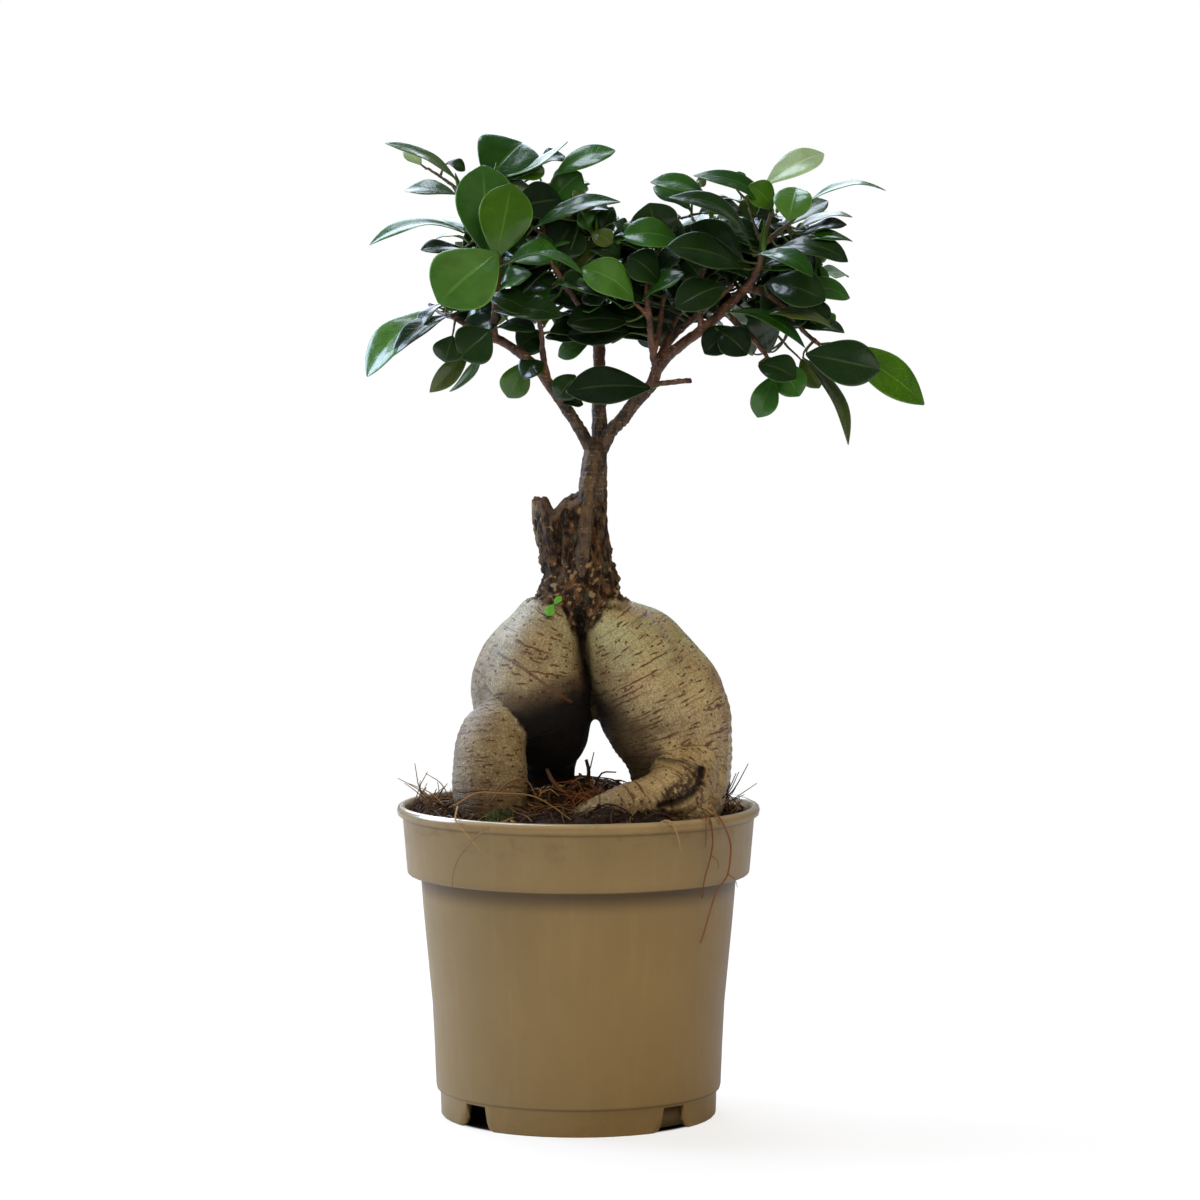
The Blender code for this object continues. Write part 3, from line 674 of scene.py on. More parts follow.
def eased(mesh, points, share, rounds):
    """The points drawn again and again towards their neighbours, each as far as its share says."""
    ends = np.empty(len(mesh.edges) * 2, np.int32)
    mesh.edges.foreach_get("vertices", ends)
    first, second = ends.reshape(-1, 2).T
    count = np.bincount(ends, minlength=len(points))
    for _ in range(rounds):
        middle = np.empty_like(points)
        for axis in range(3):
            column = points[:, axis]
            total = np.bincount(first, column[second], len(points))
            total = total + np.bincount(second, column[first], len(points))
            middle[:, axis] = total / count
        points = points + (middle - points) * share[:, None] * 0.7
    return points


print("folds that are eased:", len(FOLDS))

# %% [markdown]
# The skin isn't even: it swells between the rings that growth has left, and more on the two shoulders. The
# rings show low on the right bulb, on the leg and on the foot.

# %% Swellings and rings
SHOULDERS = ((29, 189, 13, 2.7), (-18, 200, 8.0, 3.0))  # x, height, reach and how far they swell
SHOULDER_DEPTH = 16
LIMB_NUMBERS = {name: number for number, name in enumerate(GRAIN_LINES)}


def swollen(points, along, limb):
    """How far the skin swells: broad and small lumps, fuller shoulders, and rings low on the limbs."""
    x, y, z = points.T
    swell = 0.9 * noise_at(points, 21.0) + 0.3 * noise_at(points, 8.0, 4.0)
    for across, up, reach, out in SHOULDERS:
        swell += out * np.exp(-((x - across) ** 2 + (z - up) ** 2) / reach ** 2 - (y / SHOULDER_DEPTH) ** 2)
    rings = np.sin(along * 2.1 + 2.2 * noise_at(points, 9.0, 7.0)) * 0.16
    right = limb == LIMB_NUMBERS["right"]
    ringed = (limb == LIMB_NUMBERS["leg"]) | (limb == LIMB_NUMBERS["foot"])
    return swell, rings * rise(along, 45, 70) * right + rings * 0.7 * ringed


print("limbs by number:", LIMB_NUMBERS)

# %% [markdown]
# Bark begins where the neck does, with a ragged edge and a tongue between the bulbs. It is cracked into
# plates, with warts all over, a collar of beads at its foot, and three deep furrows in front.

# %% Bark in relief
BARK_LINE = 198  # height at which skin turns to bark
TONGUE_DROP = 15
BARK_FURROWS = ((-7.4, 1.5, 2.6), (-3.0, 1.0, 1.2), (6.6, 1.1, 2.0))  # x, half width and depth


def bark_share(points):
    """1 on the warty bark of the neck and its tongue, 0 on the smooth skin of the bulbs."""
    x, y, z = points.T
    front = rise(-y, 2, 8)
    tongue = TONGUE_DROP * bell(x, 1.5, 6.0) * front
    ragged = 2.6 * noise_at(points, 7.0, 3.0) + 1.5 * noise_at(points, 2.6, 9.0)
    return rise(z + tongue + ragged, BARK_LINE - 2.0, BARK_LINE + 2.0)


def bark_relief(points, normals, bark):
    """How far the bark stands out, and how much of a wart or a bead each point is."""
    x, _, z = points.T
    plates = 1.0 - np.abs(noise_at(points * np.array((1, 1, 0.36)), 3.6, 5.0)) * 2.6
    warts = np.clip((noise_at(points, 2.2, 11.0) - 0.3) * 3.2, 0, 1)
    beads = np.clip((noise_at(points, 1.7, 43.0) - 0.12) * 2.6, 0, 1) * rise(-z, -222, -210)
    lumps = plates * 0.9 + warts * 0.7 + beads * 0.9 - 0.5 + 1.1 * noise_at(points, 7.0, 13.0)
    relief = bark * (1 - 0.6 * rise(z, 228, 234)) * lumps
    facing_front = rise(-normals[:, 1], 0.1, 0.6) * rise(z, 204, 214)
    for furrow, width, depth in BARK_FURROWS:
        relief -= depth * facing_front * bell(x, furrow + 0.9 * noise_at(points, 12.0, 23.0), width)
    return relief, np.maximum(warts * 0.8, beads) * bark


def rotted_top(points):
    """How far the sawn end of the neck has sunk: a notch beside the knob, and crumbled wood."""
    x = points[:, 0]
    notch = bell(x, -9.5, 2.6) * 5.0 + bell(x, 2, 6.0) * -1.8 * rise(x, -6, 0)
    return notch + 0.8 + (1.6 * noise_at(points, 3.0, 17.0) + 0.9 * noise_at(points, 1.4, 19.0))


print("the tongue of bark ends at", BARK_LINE - TONGUE_DROP, "mm")

# %% [markdown]
# Some marks are lines on the front: the crease between the bulbs, the cleft over the heel, the upper edge
# of the foot, the bark that is torn there, and an old scar. Each is a run of places, given as x and height
# (the crease as height and x). Its strength is 1 on the line and falls off beside it.

# %% Lines on the front
CREASE = ((156, 8.0), (159, 6.9), (167, 4.1), (178, 1.5), (188, 0.2), (197, 0.5))  # height and x
HEEL_CLEFT = ((46.8, 136), (45.6, 131.5), (43.2, 127.7), (38.3, 125.0), (31, 123.4))
FOOT_EDGE = ((31, 139.6), (40, 139.2), (47, 136))
TORN_BARK = ((36, 127.5), (44, 132.5))
SCAR = ((-30.6, 179.7), (-20, 174.0), (-10, 166.5), (-2.3, 161))
CREASE_WIDTH, CLEFT_WIDTH, EDGE_WIDTH, TORN_WIDTH, SCAR_WIDTH = 1.7, 1.5, 0.9, 4.0, 0.75
CREASE_DEPTH, CLEFT_DEPTH, EDGE_DEPTH = 3.4, 3.4, 0.8


def near_line(points, line, reach):
    """1 on a line that is drawn on the front as x and height, falling off with the distance from it."""
    flat = points[:, (0, 2)]
    nearest = np.full(len(points), 1e9)
    for start, stop in zip(line, line[1:]):
        start, ahead = np.array(start, float), np.array(stop, float) - np.array(start, float)
        share = np.clip((flat - start) @ ahead / (ahead @ ahead), 0, 1)
        nearest = np.minimum(nearest, np.linalg.norm(flat - start - np.outer(share, ahead), axis=1))
    return np.exp(-(nearest / reach) ** 2)


print("lines on the front: crease, cleft, edge, torn bark and scar")

# %% [markdown]
# Now the skin is melted, eased and moved. What each point is like is stored along with it, because the
# finish needs the same masks: where the bark is, the cut wood, the crease with its painted shade, and the
# painted shade under the bulbs.

# %% Sculpt the caudex
CAUDEX_VOXEL = 0.85
CAUDEX_SMOOTHING = 7


def shade_under(points, normals, limb, bark):
    """1 where the bulbs turn down and in, where a painted shade darkens them."""
    x, _, z = points.T
    left, right = limb == LIMB_NUMBERS["left"], limb == LIMB_NUMBERS["right"]
    faces_in = rise(normals[:, 0] * 0.6 - normals[:, 1], -0.3, 0.4)
    below_line = 177 - z + 0.3 * (x + 4) + 2.0 * noise_at(points, 6.0, 37.0)
    low_left = left * rise(below_line, 0, 18) * faces_in
    inner_right = right * rise(-normals[:, 0], 0.0, 0.75) * rise(178 - z, 0, 24) * 0.48
    below = rise(-normals[:, 2], 0.05, 0.7) * (1 - bark) * (0.7 - 0.3 * right)
    return np.maximum(np.maximum(below, low_left), inner_right)


def sculpted_caudex():
    bm = bmesh.new()
    bm.from_mesh(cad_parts["caudex"].data)
    mesh = melted("caudex_skin", bm, CAUDEX_VOXEL, CAUDEX_SMOOTHING)
    points = points_of(mesh)
    in_fold = np.zeros(len(points))
    for *spot, reach in FOLDS:
        in_fold += np.exp(-((points - np.array(spot)) ** 2).sum(axis=1) / reach ** 2)
    put_points(mesh, eased(mesh, points, np.clip(in_fold * 1.5, 0, 1), EASING_ROUNDS))

    points = points_of(mesh)
    normals = points_of(mesh, "normal")
    limb, along, around = grain(points)
    bark = bark_share(points)
    x, y, z = points.T
    swell, rings = swollen(points, along, limb)
    relief, wart = bark_relief(points, normals, bark)
    moved = points + normals * (swell * (1 - 0.5 * bark) + rings * (1 - bark) + relief)[:, None]

    front = rise(-normals[:, 1], -0.2, 0.3) * rise(-y, 0, 6)
    heights, middles = zip(*CREASE)
    crease_x = np.interp(z, heights, middles)
    in_crease = bell(x, crease_x, CREASE_WIDTH) * front * rise(z, 159, 167) * rise(-z, -200, -192)
    on_right = front * (limb < LIMB_NUMBERS["left"])
    cleft = near_line(points, HEEL_CLEFT, CLEFT_WIDTH) * on_right
    foot_edge = near_line(points, FOOT_EDGE, EDGE_WIDTH) * on_right
    torn = near_line(points, TORN_BARK, TORN_WIDTH) * on_right
    tatters = 0.9 * noise_at(points, 2.6, 29.0) + 0.5 * noise_at(points, 1.3, 31.0)
    moved += normals * (torn * tatters)[:, None]
    moved[:, 1] += CREASE_DEPTH * in_crease + CLEFT_DEPTH * cleft + EDGE_DEPTH * foot_edge
    top = rise(z, 226, 233)
    moved[:, 2] -= top * rotted_top(points)
    put_points(mesh, moved)

    # Painted shade: the crease's dark is painted wider beside it, lower down.
    painted_shade_beside_crease = bell(x, crease_x, 2.6 + 3.0 * rise(-z, -166, -154)) * front * rise(z, 146, 151)
    painted_shade_beside_crease *= rise(-z, -200, -186)
    painted_shade_beside_crease = painted_shade_beside_crease * (0.7 + 0.3 * rise(-z, -166, -156))
    store(mesh, "limb", limb)
    store(mesh, "along", along + limb * 90)
    store(mesh, "around", around)
    store(mesh, "bark", bark)
    store(mesh, "wart", wart)
    store(mesh, "cut", top * rise(normals[:, 2], 0.5, 0.9))
    # Painted shade under and between the bulbs.
    store(mesh, "under", shade_under(points, normals, limb, bark))
    # Painted shade in the crease, the heel's cleft and along the foot's upper edge.
    store(mesh, "crease", np.clip(np.maximum(in_crease, painted_shade_beside_crease) + cleft + foot_edge * 0.7, 0, 1))
    store(mesh, "scar", near_line(points, SCAR, SCAR_WIDTH) * front)
    store(mesh, "torn", torn)
    return mesh


caudex_mesh = sculpted_caudex()
print("caudex faces:", len(caudex_mesh.polygons))

# %% [markdown]
# The skin is thin and smooth, olive where it is young and tan where it is old. It carries short brown
# dashes, the lenticels through which it breathes, and fine rings and cracks where it has stretched. The
# dashes are the middles of cells in a pattern that is squeezed along the limb and drawn out round it.
#
# Limbs are told apart by their number, as it was printed above.

# %% Smooth skin


def dashes(finish, along, around, size_along, size_around, share, reach):
    """A mask of short marks round the limb: the middles of those cells that a random number picks."""
    where = finish.vector(along * (1 / size_along), around * (1 / size_around))
    middle = finish.cells(where).between(reach, reach * 0.45)
    chance = finish.node("SeparateColor", None, finish.cells(where, out=1))
    return middle * (chance > 1 - share)


def smooth_skin(finish, limb, height):
    """The colour of the skin, the height of its grain and the finest of its noise."""
    along, around = finish.stored("along"), finish.stored("around")
    bent = along + finish.noise(finish.place(5, 5, 5), 3.0) * 2.6
    left_side = limb > 2.5
    foot_root = limb.between(0.5, 0.9) * limb.between(1.5, 1.1)
    leg = (limb > 3.5) * limb.between(4.6, 4.4)

    blotches = finish.noise(finish.place(14, 14, 14), 4.0, 0.6)
    base = finish.mix(blotches.between(0.3, 0.7), colour(108, 90, 60), colour(144, 127, 90))
    young = height.between(150.0, 192.0) * finish.noise(finish.place(20, 20, 20), 2.0).between(0.35, 0.6)
    base = finish.mix(young * (0.8 - 0.4 * left_side), base, colour(134, 137, 100))
    grubby = finish.noise(finish.place(3, 3, 3), 4.0, 0.7)
    base = finish.mix(grubby.between(0.5, 0.7) * 0.35, base, colour(96, 72, 46))
    base = finish.mix(grubby.between(0.46, 0.3) * 0.3, base, colour(160, 142, 104))
    # Painted shade: the bulbs are painted darker towards the bottom, the left ones more.
    base = finish.mix(height.between(158.0, 118.0) * (0.12 + 0.33 * left_side), base, colour(96, 75, 47))
    base = finish.brightened(base, 1.36 - 0.4 * left_side + 0.1 * foot_root)
    fine = finish.noise(finish.place(0.7, 0.7, 0.7), 3.0, 0.6)
    base = finish.mix(fine.between(0.5, 0.6) * 0.42, base, colour(78, 56, 35))
    base = finish.mix(fine.between(0.46, 0.36) * 0.34, base, colour(190, 176, 138))
    base = finish.brightened(base, 1 - leg * 0.12)

    fibre = finish.noise(finish.vector(along * (1 / 9.0), around * (1 / 0.7)), 3.0, 0.6)
    base = finish.mix(fibre.between(0.48, 0.7) * 0.34, base, colour(96, 79, 52))
    ringed = finish.noise(finish.vector(bent * (1 / 0.9), around * (1 / 16.0)), 2.0)
    stretched = height.between(168.0, 152.0) * limb.between(0.6, 0.4)
    base = finish.mix(ringed.between(0.55, 0.66) * (0.5 + 0.35 * stretched), base, colour(94, 72, 46))

    short = dashes(finish, bent, around, 1.8, 10.0, 0.5, 0.2)
    long = dashes(finish, bent + 31.0, around, 2.4, 46.0, 0.5, 0.16)
    tiny = dashes(finish, along, around + 40.0, 2.2, 2.6, 0.3, 0.24)
    marks = short.or_more(long).or_more(tiny)
    base = finish.mix(marks * 0.92, base, colour(84, 46, 26))
    return base, fine * 1.3 + grubby * 1.4 + fibre * 1.2 + ringed * 1.4 - marks * 1.3, fine


print("dashes are short, long and tiny")

# %% [markdown]
# Over the skin lie the neck's bark, painted shade in the folds and under the bulbs, the cut wood, the scar
# and, at the foot, soil. Each of them is a mask that the mesh carries, mixed in with its colour.

# %% Bark and grime


def warty_bark(finish, height):
    """The colour of the neck's bark, with pale warts, moss and the weathered knob, and the bark's plates."""
    plates = finish.noise(finish.place(2.4, 2.4, 5.5), 4.0, 0.7)
    base = finish.mix(plates.between(0.4, 0.72), colour(16, 10, 6), colour(98, 70, 42))
    base = finish.mix(finish.stored("wart").between(0.4, 0.85) * 0.7, base, colour(146, 122, 86))
    mossy = finish.noise(finish.place(6, 6, 9), 2.0).between(0.56, 0.7)
    base = finish.mix(mossy * 0.35, base, colour(78, 82, 60))
    on_knob = finish.along_axis("x").between(-39.5, -44.0) * height.between(206.0, 224.0)
    base = finish.mix(on_knob * plates.between(0.4, 0.6) * 0.5, base, colour(150, 132, 98))
    return base, plates


def caudex_finish():
    finish = Finish("caudex_bark", 0.6, specular=0.35)
    height = finish.along_axis("z")
    bark, under = finish.stored("bark"), finish.stored("under")
    base, skin_grain, fine = smooth_skin(finish, finish.stored("limb"), height)
    # Painted shade under and between the bulbs, darkest where they turn furthest down and in.
    base = finish.mix(under.between(0.0, 0.5) * 0.7, base, colour(62, 42, 24))
    base = finish.mix(under * under * 0.98, base, colour(12, 8, 5))
    neck, plates = warty_bark(finish, height)
    base = finish.mix(bark, base, neck)

    ragged = finish.noise(finish.place(1.8, 1.8, 1.8), 3.0).between(0.36, 0.52)
    base = finish.mix(finish.stored("cut") * 0.7, base, colour(90, 66, 43))
    base = finish.mix(finish.stored("scar").between(0.35, 0.8) * 0.8, base, colour(84, 52, 30))
    base = finish.mix(finish.stored("torn").between(0.1, 0.6) * ragged * 0.9, base, colour(48, 29, 18))
    # Painted shade in the crease, the cleft and along the foot's edge.
    base = finish.mix(finish.stored("crease") * 0.92, base, colour(18, 12, 8))
    soiled = height.between(133.0, 117.0) * finish.noise(finish.place(4, 4, 4), 3.0).between(0.3, 0.6)
    base = finish.mix(soiled * 0.85, base, colour(54, 39, 25))
    rough = 0.32 + (bark + under) * 0.6 + fine * 0.16
    return finish.finished(base, rough, skin_grain + bark * plates * 2.2, 0.27)


caudex = new_piece("ginseng_caudex", caudex_mesh, caudex_finish(), "caudex")
print("caudex finish nodes:", len(caudex.data.materials[0].node_tree.nodes))

# %% [markdown]
# ## Step 9: the scion
# A small-leaved ficus was grafted on the stump. Its stem forks into branches and twigs. The solid has the
# main shoots; a second, thinner stem fused to the first, and side twigs for the inner leaves, are added as
# tubes before everything is melted together at a fine voxel, so the forks grow into each other. Noise then
# makes the young wood lumpy and furrows the old.

# %% Twigs beside the solid shoots
FUSED_STEM = ((0.6, -10.4, 205), (1.3, -12.2, 214), (2.1, -12.6, 224), (3, -11, 236), (4.4, -7, 246),
              (6.2, -3, 255))
EXTRA_TWIGS = (  # places from end to end, and the radius at both ends
    (FUSED_STEM, 2.4, 3.4),
    (((8.2, 3, 232), (8.4, 2.5, 244), (8, 1, 256)), 2.6, 2.8),
    (((-36, 36, 334), (-38, 46, 342), (-38, 54, 352)), 1.0, 0.7),
    (((12, 38, 328), (13, 48, 332), (15, 56, 338)), 1.0, 0.7),
    (((69, 38, 334), (74, 48, 340), (78, 54, 348)), 1.0, 0.7),
    (((-31, 8, 313), (-44, 20, 322), (-56, 30, 330)), 1.1, 0.7),
    (((-8, 12, 325), (-16, 26, 340), (-18, 36, 352)), 1.1, 0.7),
    (((13, 30, 321), (26, 40, 318), (36, 50, 320)), 1.1, 0.7),
    (((65, 20, 323), (82, 26, 322), (96, 30, 326)), 1.1, 0.7),
    (((47, -6, 314), (40, 6, 322), (38, 20, 334)), 1.1, 0.7),
    (((79, -12, 310), (86, 4, 306), (92, 16, 308)), 1.1, 0.7),
    (((-45, -10, 306), (-52, 4, 308), (-58, 16, 312)), 1.1, 0.7),
    (((50, -6, 334), (46, -2, 340), (43, 3, 346)), 0.9, 0.7),
    (((-13, -6, 338), (-22, -6, 345), (-28, -4, 352)), 0.9, 0.7),
    (((70, -8, 333), (67, -6, 342), (64, -2, 352)), 0.9, 0.7),
    (((-45, 0, 355), (-52, 3, 360), (-58, 5, 364)), 0.9, 0.6),
    (((79, -12, 310), (80, -10, 303), (78, -6, 297)), 0.9, 0.7),
    (((-9, -9, 279), (-8, -9, 276.5), (-6.5, -9, 276)), 0.8, 0.6),
    (((29, -3, 286.5), (36, -1, 299), (47, 0, 309), (59, -3, 319)), 1.7, 1.2),
    (((29.5, -2, 289), (36, 5, 303), (44, 8, 318)), 1.3, 0.9),
)
SHOOT_VOXEL = 0.45


def grown_scion():
    bm = bmesh.new()
    bm.from_mesh(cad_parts["scion"].data)
    for points, start, stop in EXTRA_TWIGS:
        run = curve_through(points, 5)
        add_tube(bm, run, tapered(start, stop, run), 10)
    bmesh.ops.recalc_face_normals(bm, faces=bm.faces)
    mesh = melted("scion_bark", bm, SHOOT_VOXEL, 3)
    points = points_of(mesh)
    normals = points_of(mesh, "normal")
    old = rise(-points[:, 2], -300, -262)
    lumps = 0.28 * noise_at(points, 3.4) + 0.16 * noise_at(points, 1.3, 3.0)
    ridges = (0.5 - np.abs(noise_at(points * np.array((1, 1, 0.3)), 1.5, 8.0))) * 0.7
    put_points(mesh, points + normals * (lumps + old * ridges - 0.1)[:, None])
    store(mesh, "old", old)
    return mesh


scion_mesh = grown_scion()
print("scion faces:", len(scion_mesh.polygons))

# %% [markdown]
# Old wood is grey brown and furrowed, young wood is redder and nearly smooth, and the topmost twigs turn
# green. Height tells them apart well enough on a plant this small.

# %% Shoot bark


def shoot_finish():
    finish = Finish("shoot_bark", 0.62, specular=0.35)
    old = finish.stored("old")
    height = finish.along_axis("z")
    patch = finish.noise(finish.place(3, 3, 6), 4.0, 0.65)
    young_wood = finish.mix(patch.between(0.35, 0.68), colour(50, 30, 20), colour(98, 66, 46))
    old_wood = finish.mix(patch.between(0.35, 0.68), colour(34, 25, 18), colour(88, 69, 49))
    base = finish.mix(old, young_wood, old_wood)
    tender = height.between(318.0, 345.0) * 0.55
    base = finish.mix(tender, base, colour(70, 74, 36))
    aside = finish.noise(finish.place(2, 2, 2), 1.0) * 20.0
    pores = dashes(finish, height, aside, 1.6, 2.0, 0.3, 0.22)
    base = finish.mix(pores * 0.6, base, colour(160, 136, 104))
    surface = patch + finish.noise(finish.place(0.5, 0.5, 1.4), 3.0, 0.6) * 0.7
    return finish.finished(base, 0.5 + old * 0.25, surface, 0.2)


new_piece("ficus_scion", scion_mesh, shoot_finish(), "scion")
places = [vert.co for vert in scion_mesh.vertices]
scion_surface = BVHTree.FromPolygons(places, [face.vertices for face in scion_mesh.polygons])
print("places on the bark that a leaf can grow from:", len(places))

# %% [markdown]
# ## Step 10: one leaf
# A ficus leaf is a leathery blade on a short stalk: widest a little past its middle, blunt at the tip,
# folded up along a pale midrib, with a thin rolled margin. Two faces a fraction of a millimetre apart are
# laid out as a grid along and across the blade, and the stalk is a tube that bends from the bark into the
# midrib. Each point stores where on the blade it lies, so that veins can be painted with sums.

# %% The blade
LEAF_ROWS = 11
LEAF_COLUMNS = (-1.0, -0.8, -0.42, 0.0, 0.42, 0.8, 1.0)
LEAF_FOLD = 0.27
LEAF_TWIST = 0.3  # radians from base to tip, to either side
LEAF_DROOP = 0.07  # of its length
LEAF_THICKNESS = 0.5
MARGIN_THINNER = 0.22
MIDRIB_THICKER = 0.35


def blade_share(share, slim):
    """Half width from base at 0 to tip at 1, as a share of the widest. A slim blade is more pointed."""
    swell = math.sin(math.pi * share ** (1.38 - 0.2 * slim)) if 0 < share < 1 else 0.0
    return max(0.03, swell ** (0.6 + 0.28 * slim))


def leaf_layers(bm):
    layers = {name: bm.verts.layers.float.new(name) for name in ("across", "share", "upper", "stalk")}
    layers["tint"] = bm.verts.layers.float_vector.new("tint")
    return layers


def add_blade(bm, layers, base, tip, width, facing, arch, tint, rng):
    along = tip - base
    length = along.length
    along.normalize()
    normal = (facing - along * facing.dot(along)).normalized()
    side = along.cross(normal)
    twist = rng.uniform(-LEAF_TWIST, LEAF_TWIST)
    droop = rng.uniform(0.0, LEAF_DROOP) * length
    ruffle, phase = rng.uniform(0.2, 0.8), rng.uniform(0, 2 * math.pi)
    fold = LEAF_FOLD * rng.uniform(0.5, 1.4)
    slim = min(1.0, max(0.0, (length / width - 1.6) / 1.2))
    grid = []
    for row in range(LEAF_ROWS + 1):
        share = row / LEAF_ROWS
        turn = twist * (share - 0.4)
        right = side * math.cos(turn) + normal * math.sin(turn)
        up = normal * math.cos(turn) - side * math.sin(turn)
        bow = arch * 4 * share * (1 - share) - droop * share ** 3
        centre = base + along * length * share + normal * bow
        half = blade_share(share, slim) * width / 2
        for column in LEAF_COLUMNS:
            reach = abs(column)
            wave = ruffle * math.sin(phase + 8 * share + (2.0 if column > 0 else 0.0)) * reach ** 2
            lift = half * (fold * reach - 0.55 * fold * reach ** 4) + wave * math.sin(math.pi * share)
            top = centre + right * column * half + up * lift
            rib = MIDRIB_THICKER * (1 - share) if column == 0 else 0.0
            thick = LEAF_THICKNESS - MARGIN_THINNER * reach + rib
            upper = bm.verts.new(at(*top))
            lower = bm.verts.new(at(*(top - up * thick)))
            for vert, is_upper in ((upper, 1.0), (lower, 0.0)):
                vert[layers["across"]] = column
                vert[layers["share"]] = share
                vert[layers["upper"]] = is_upper
                vert[layers["tint"]] = tint
            grid.append((upper, lower))
    columns = len(LEAF_COLUMNS)
    for row in range(LEAF_ROWS):
        for column in range(columns - 1):
            first = row * columns + column
            ring = (first, first + 1, first + columns + 1, first + columns)
            bm.faces.new([grid[index][0] for index in ring])
            bm.faces.new([grid[index][1] for index in ring[::-1]])
    rim = [(row * columns, (row + 1) * columns) for row in range(LEAF_ROWS)]
    rim += [((row + 1) * columns - 1, (row + 2) * columns - 1) for row in range(LEAF_ROWS)]
    last = LEAF_ROWS * columns
    rim += [(start + column, start + column + 1) for start in (0, last) for column in range(columns - 1)]
    for first, second in rim:
        bm.faces.new((grid[first][0], grid[second][0], grid[second][1], grid[first][1]))


print("points on a blade:", 2 * len(LEAF_COLUMNS) * (LEAF_ROWS + 1))

# %% [markdown]
# The stalk starts square to the nearest bark and bends into the blade. Leaves differ in green with their age,
# and the tints also paint the light and shade each leaf gets: darker tints for leaves in shade, and the pale
# one a painted sheen. So each row names one of ten tints, which is then varied a little.

# %% The stalk and the tint
STALK_RADII = (0.75, 0.58, 0.5, 0.48, 0.46, 0.3)
STALK_BEND = 2.5  # the longest straight start of a stalk
# Some tints paint light and shade: the pale one a painted sheen, the darkest ones painted shade.
TINTS = {
    "dark": (12, 27, 10), "deep": (18, 38, 11), "mid": (22, 58, 5), "green": (37, 76, 20),
    "fresh": (54, 92, 30), "bright": (47, 82, 5), "sprout": (84, 150, 44), "olive": (58, 72, 28),
    "grey": (62, 84, 52), "pale": (136, 160, 122),
}


def tint_of(name):
    return Vector(colour(*TINTS[name])[:3])


def add_stalk(bm, layers, base, along, tint):
    """A stalk from the nearest bark, bending into the blade's own direction."""
    place, normal, _, distance = scion_surface.find_nearest(at(*base))
    root = (place - AXIS) / MM
    root -= Vector(normal) * 0.4
    reach = distance / MM
    bend = min(reach * 0.3, STALK_BEND)
    bends = (root, root + Vector(normal) * bend, base - along * bend, base + along * 1.6)
    run = []
    for step in range(len(STALK_RADII)):
        t = step / (len(STALK_RADII) - 1)
        weights = ((1 - t) ** 3, 3 * t * (1 - t) ** 2, 3 * t * t * (1 - t), t ** 3)
        run.append(sum((point * weight for point, weight in zip(bends, weights)), Vector()))
    add_tube(bm, run, STALK_RADII, 6, [(layers["stalk"], 1.0), (layers["tint"], tint)])
    return reach


def add_leaf(bm, layers, row, rng):
    base, tip, width, facing, arch, name = row
    base, tip, facing = Vector(base), Vector(tip), Vector(facing).normalized()
    tint = tint_of(name) * rng.uniform(0.85, 1.15)
    add_blade(bm, layers, base, tip, width, facing, arch, tint, rng)
    return add_stalk(bm, layers, base, (tip - base).normalized(), tint)


print("tints:", ", ".join(TINTS))

# %% [markdown]
# The upper side is a deep, waxy green with a pale midrib, faint side veins and a thin pale margin; the
# underside is paler and duller. The green goes with the leaf's age, and its tint also paints the light or
# shade at its place, so each leaf stores a tint, and the finish only varies it.

# %% Leaf finish


def leaf_finish():
    finish = Finish("leaf_blade", 0.3, specular=0.25)
    finish.shader.inputs["Coat Roughness"].default_value = 0.12
    across, share = finish.stored("across"), finish.stored("share")
    upper, stalk, tint = finish.stored("upper"), finish.stored("stalk"), finish.stored_colour("tint")
    off_rib = across.away_from(0.0)
    patch = finish.noise(finish.place(7, 7, 7), 3.0, 0.6)
    face = finish.brightened(tint, 0.55 + patch * 0.9)
    off_vein = (share * 11.0 - off_rib * 2.2).again_and_again().away_from(0.5)
    side_veins = off_vein.between(0.09, 0.0) * off_rib.between(0.95, 0.7)
    rib = off_rib.between(0.07, 0.02) * share.between(1.0, 0.75)
    margin = off_rib.between(0.93, 1.0)
    paler = finish.mix(0.12, finish.brightened(tint, 1.8), colour(132, 156, 84))
    face = finish.mix((rib * 0.5).or_more(margin * 0.85 + side_veins * 0.06), face, paler)
    under = finish.mix(0.45, finish.brightened(tint, 1.5), colour(84, 98, 50))
    under = finish.mix(rib * 0.6, under, colour(118, 132, 70))
    base = finish.mix(upper, under, face)
    base = finish.mix(stalk, base, colour(66, 72, 34))
    rough = 0.44 - upper * 0.16 + patch * 0.08
    waves = finish.noise(finish.place(5, 5, 5), 1.0) * 3.0
    surface = waves + finish.noise(finish.place(1.1, 1.1, 1.1), 2.0) * 0.3 - side_veins * 0.2 - rib
    return finish.finished(base, rough, surface, 0.16, coat=upper * 0.35)


leaf_green = leaf_finish()
print("leaf finish nodes:", len(leaf_green.node_tree.nodes))

# %% [markdown]
# ## Step 11: the crown
# The leaves are too unlike each other for a rule: they turn to the light, hang, arch and overlap. So each
# leaf of the solid model is a row: base, tip, width, the way its upper side looks, arch and tint. Where a
# solid leaf was moved fore or aft to clear its neighbour, its box says so, and the fine leaf follows it.

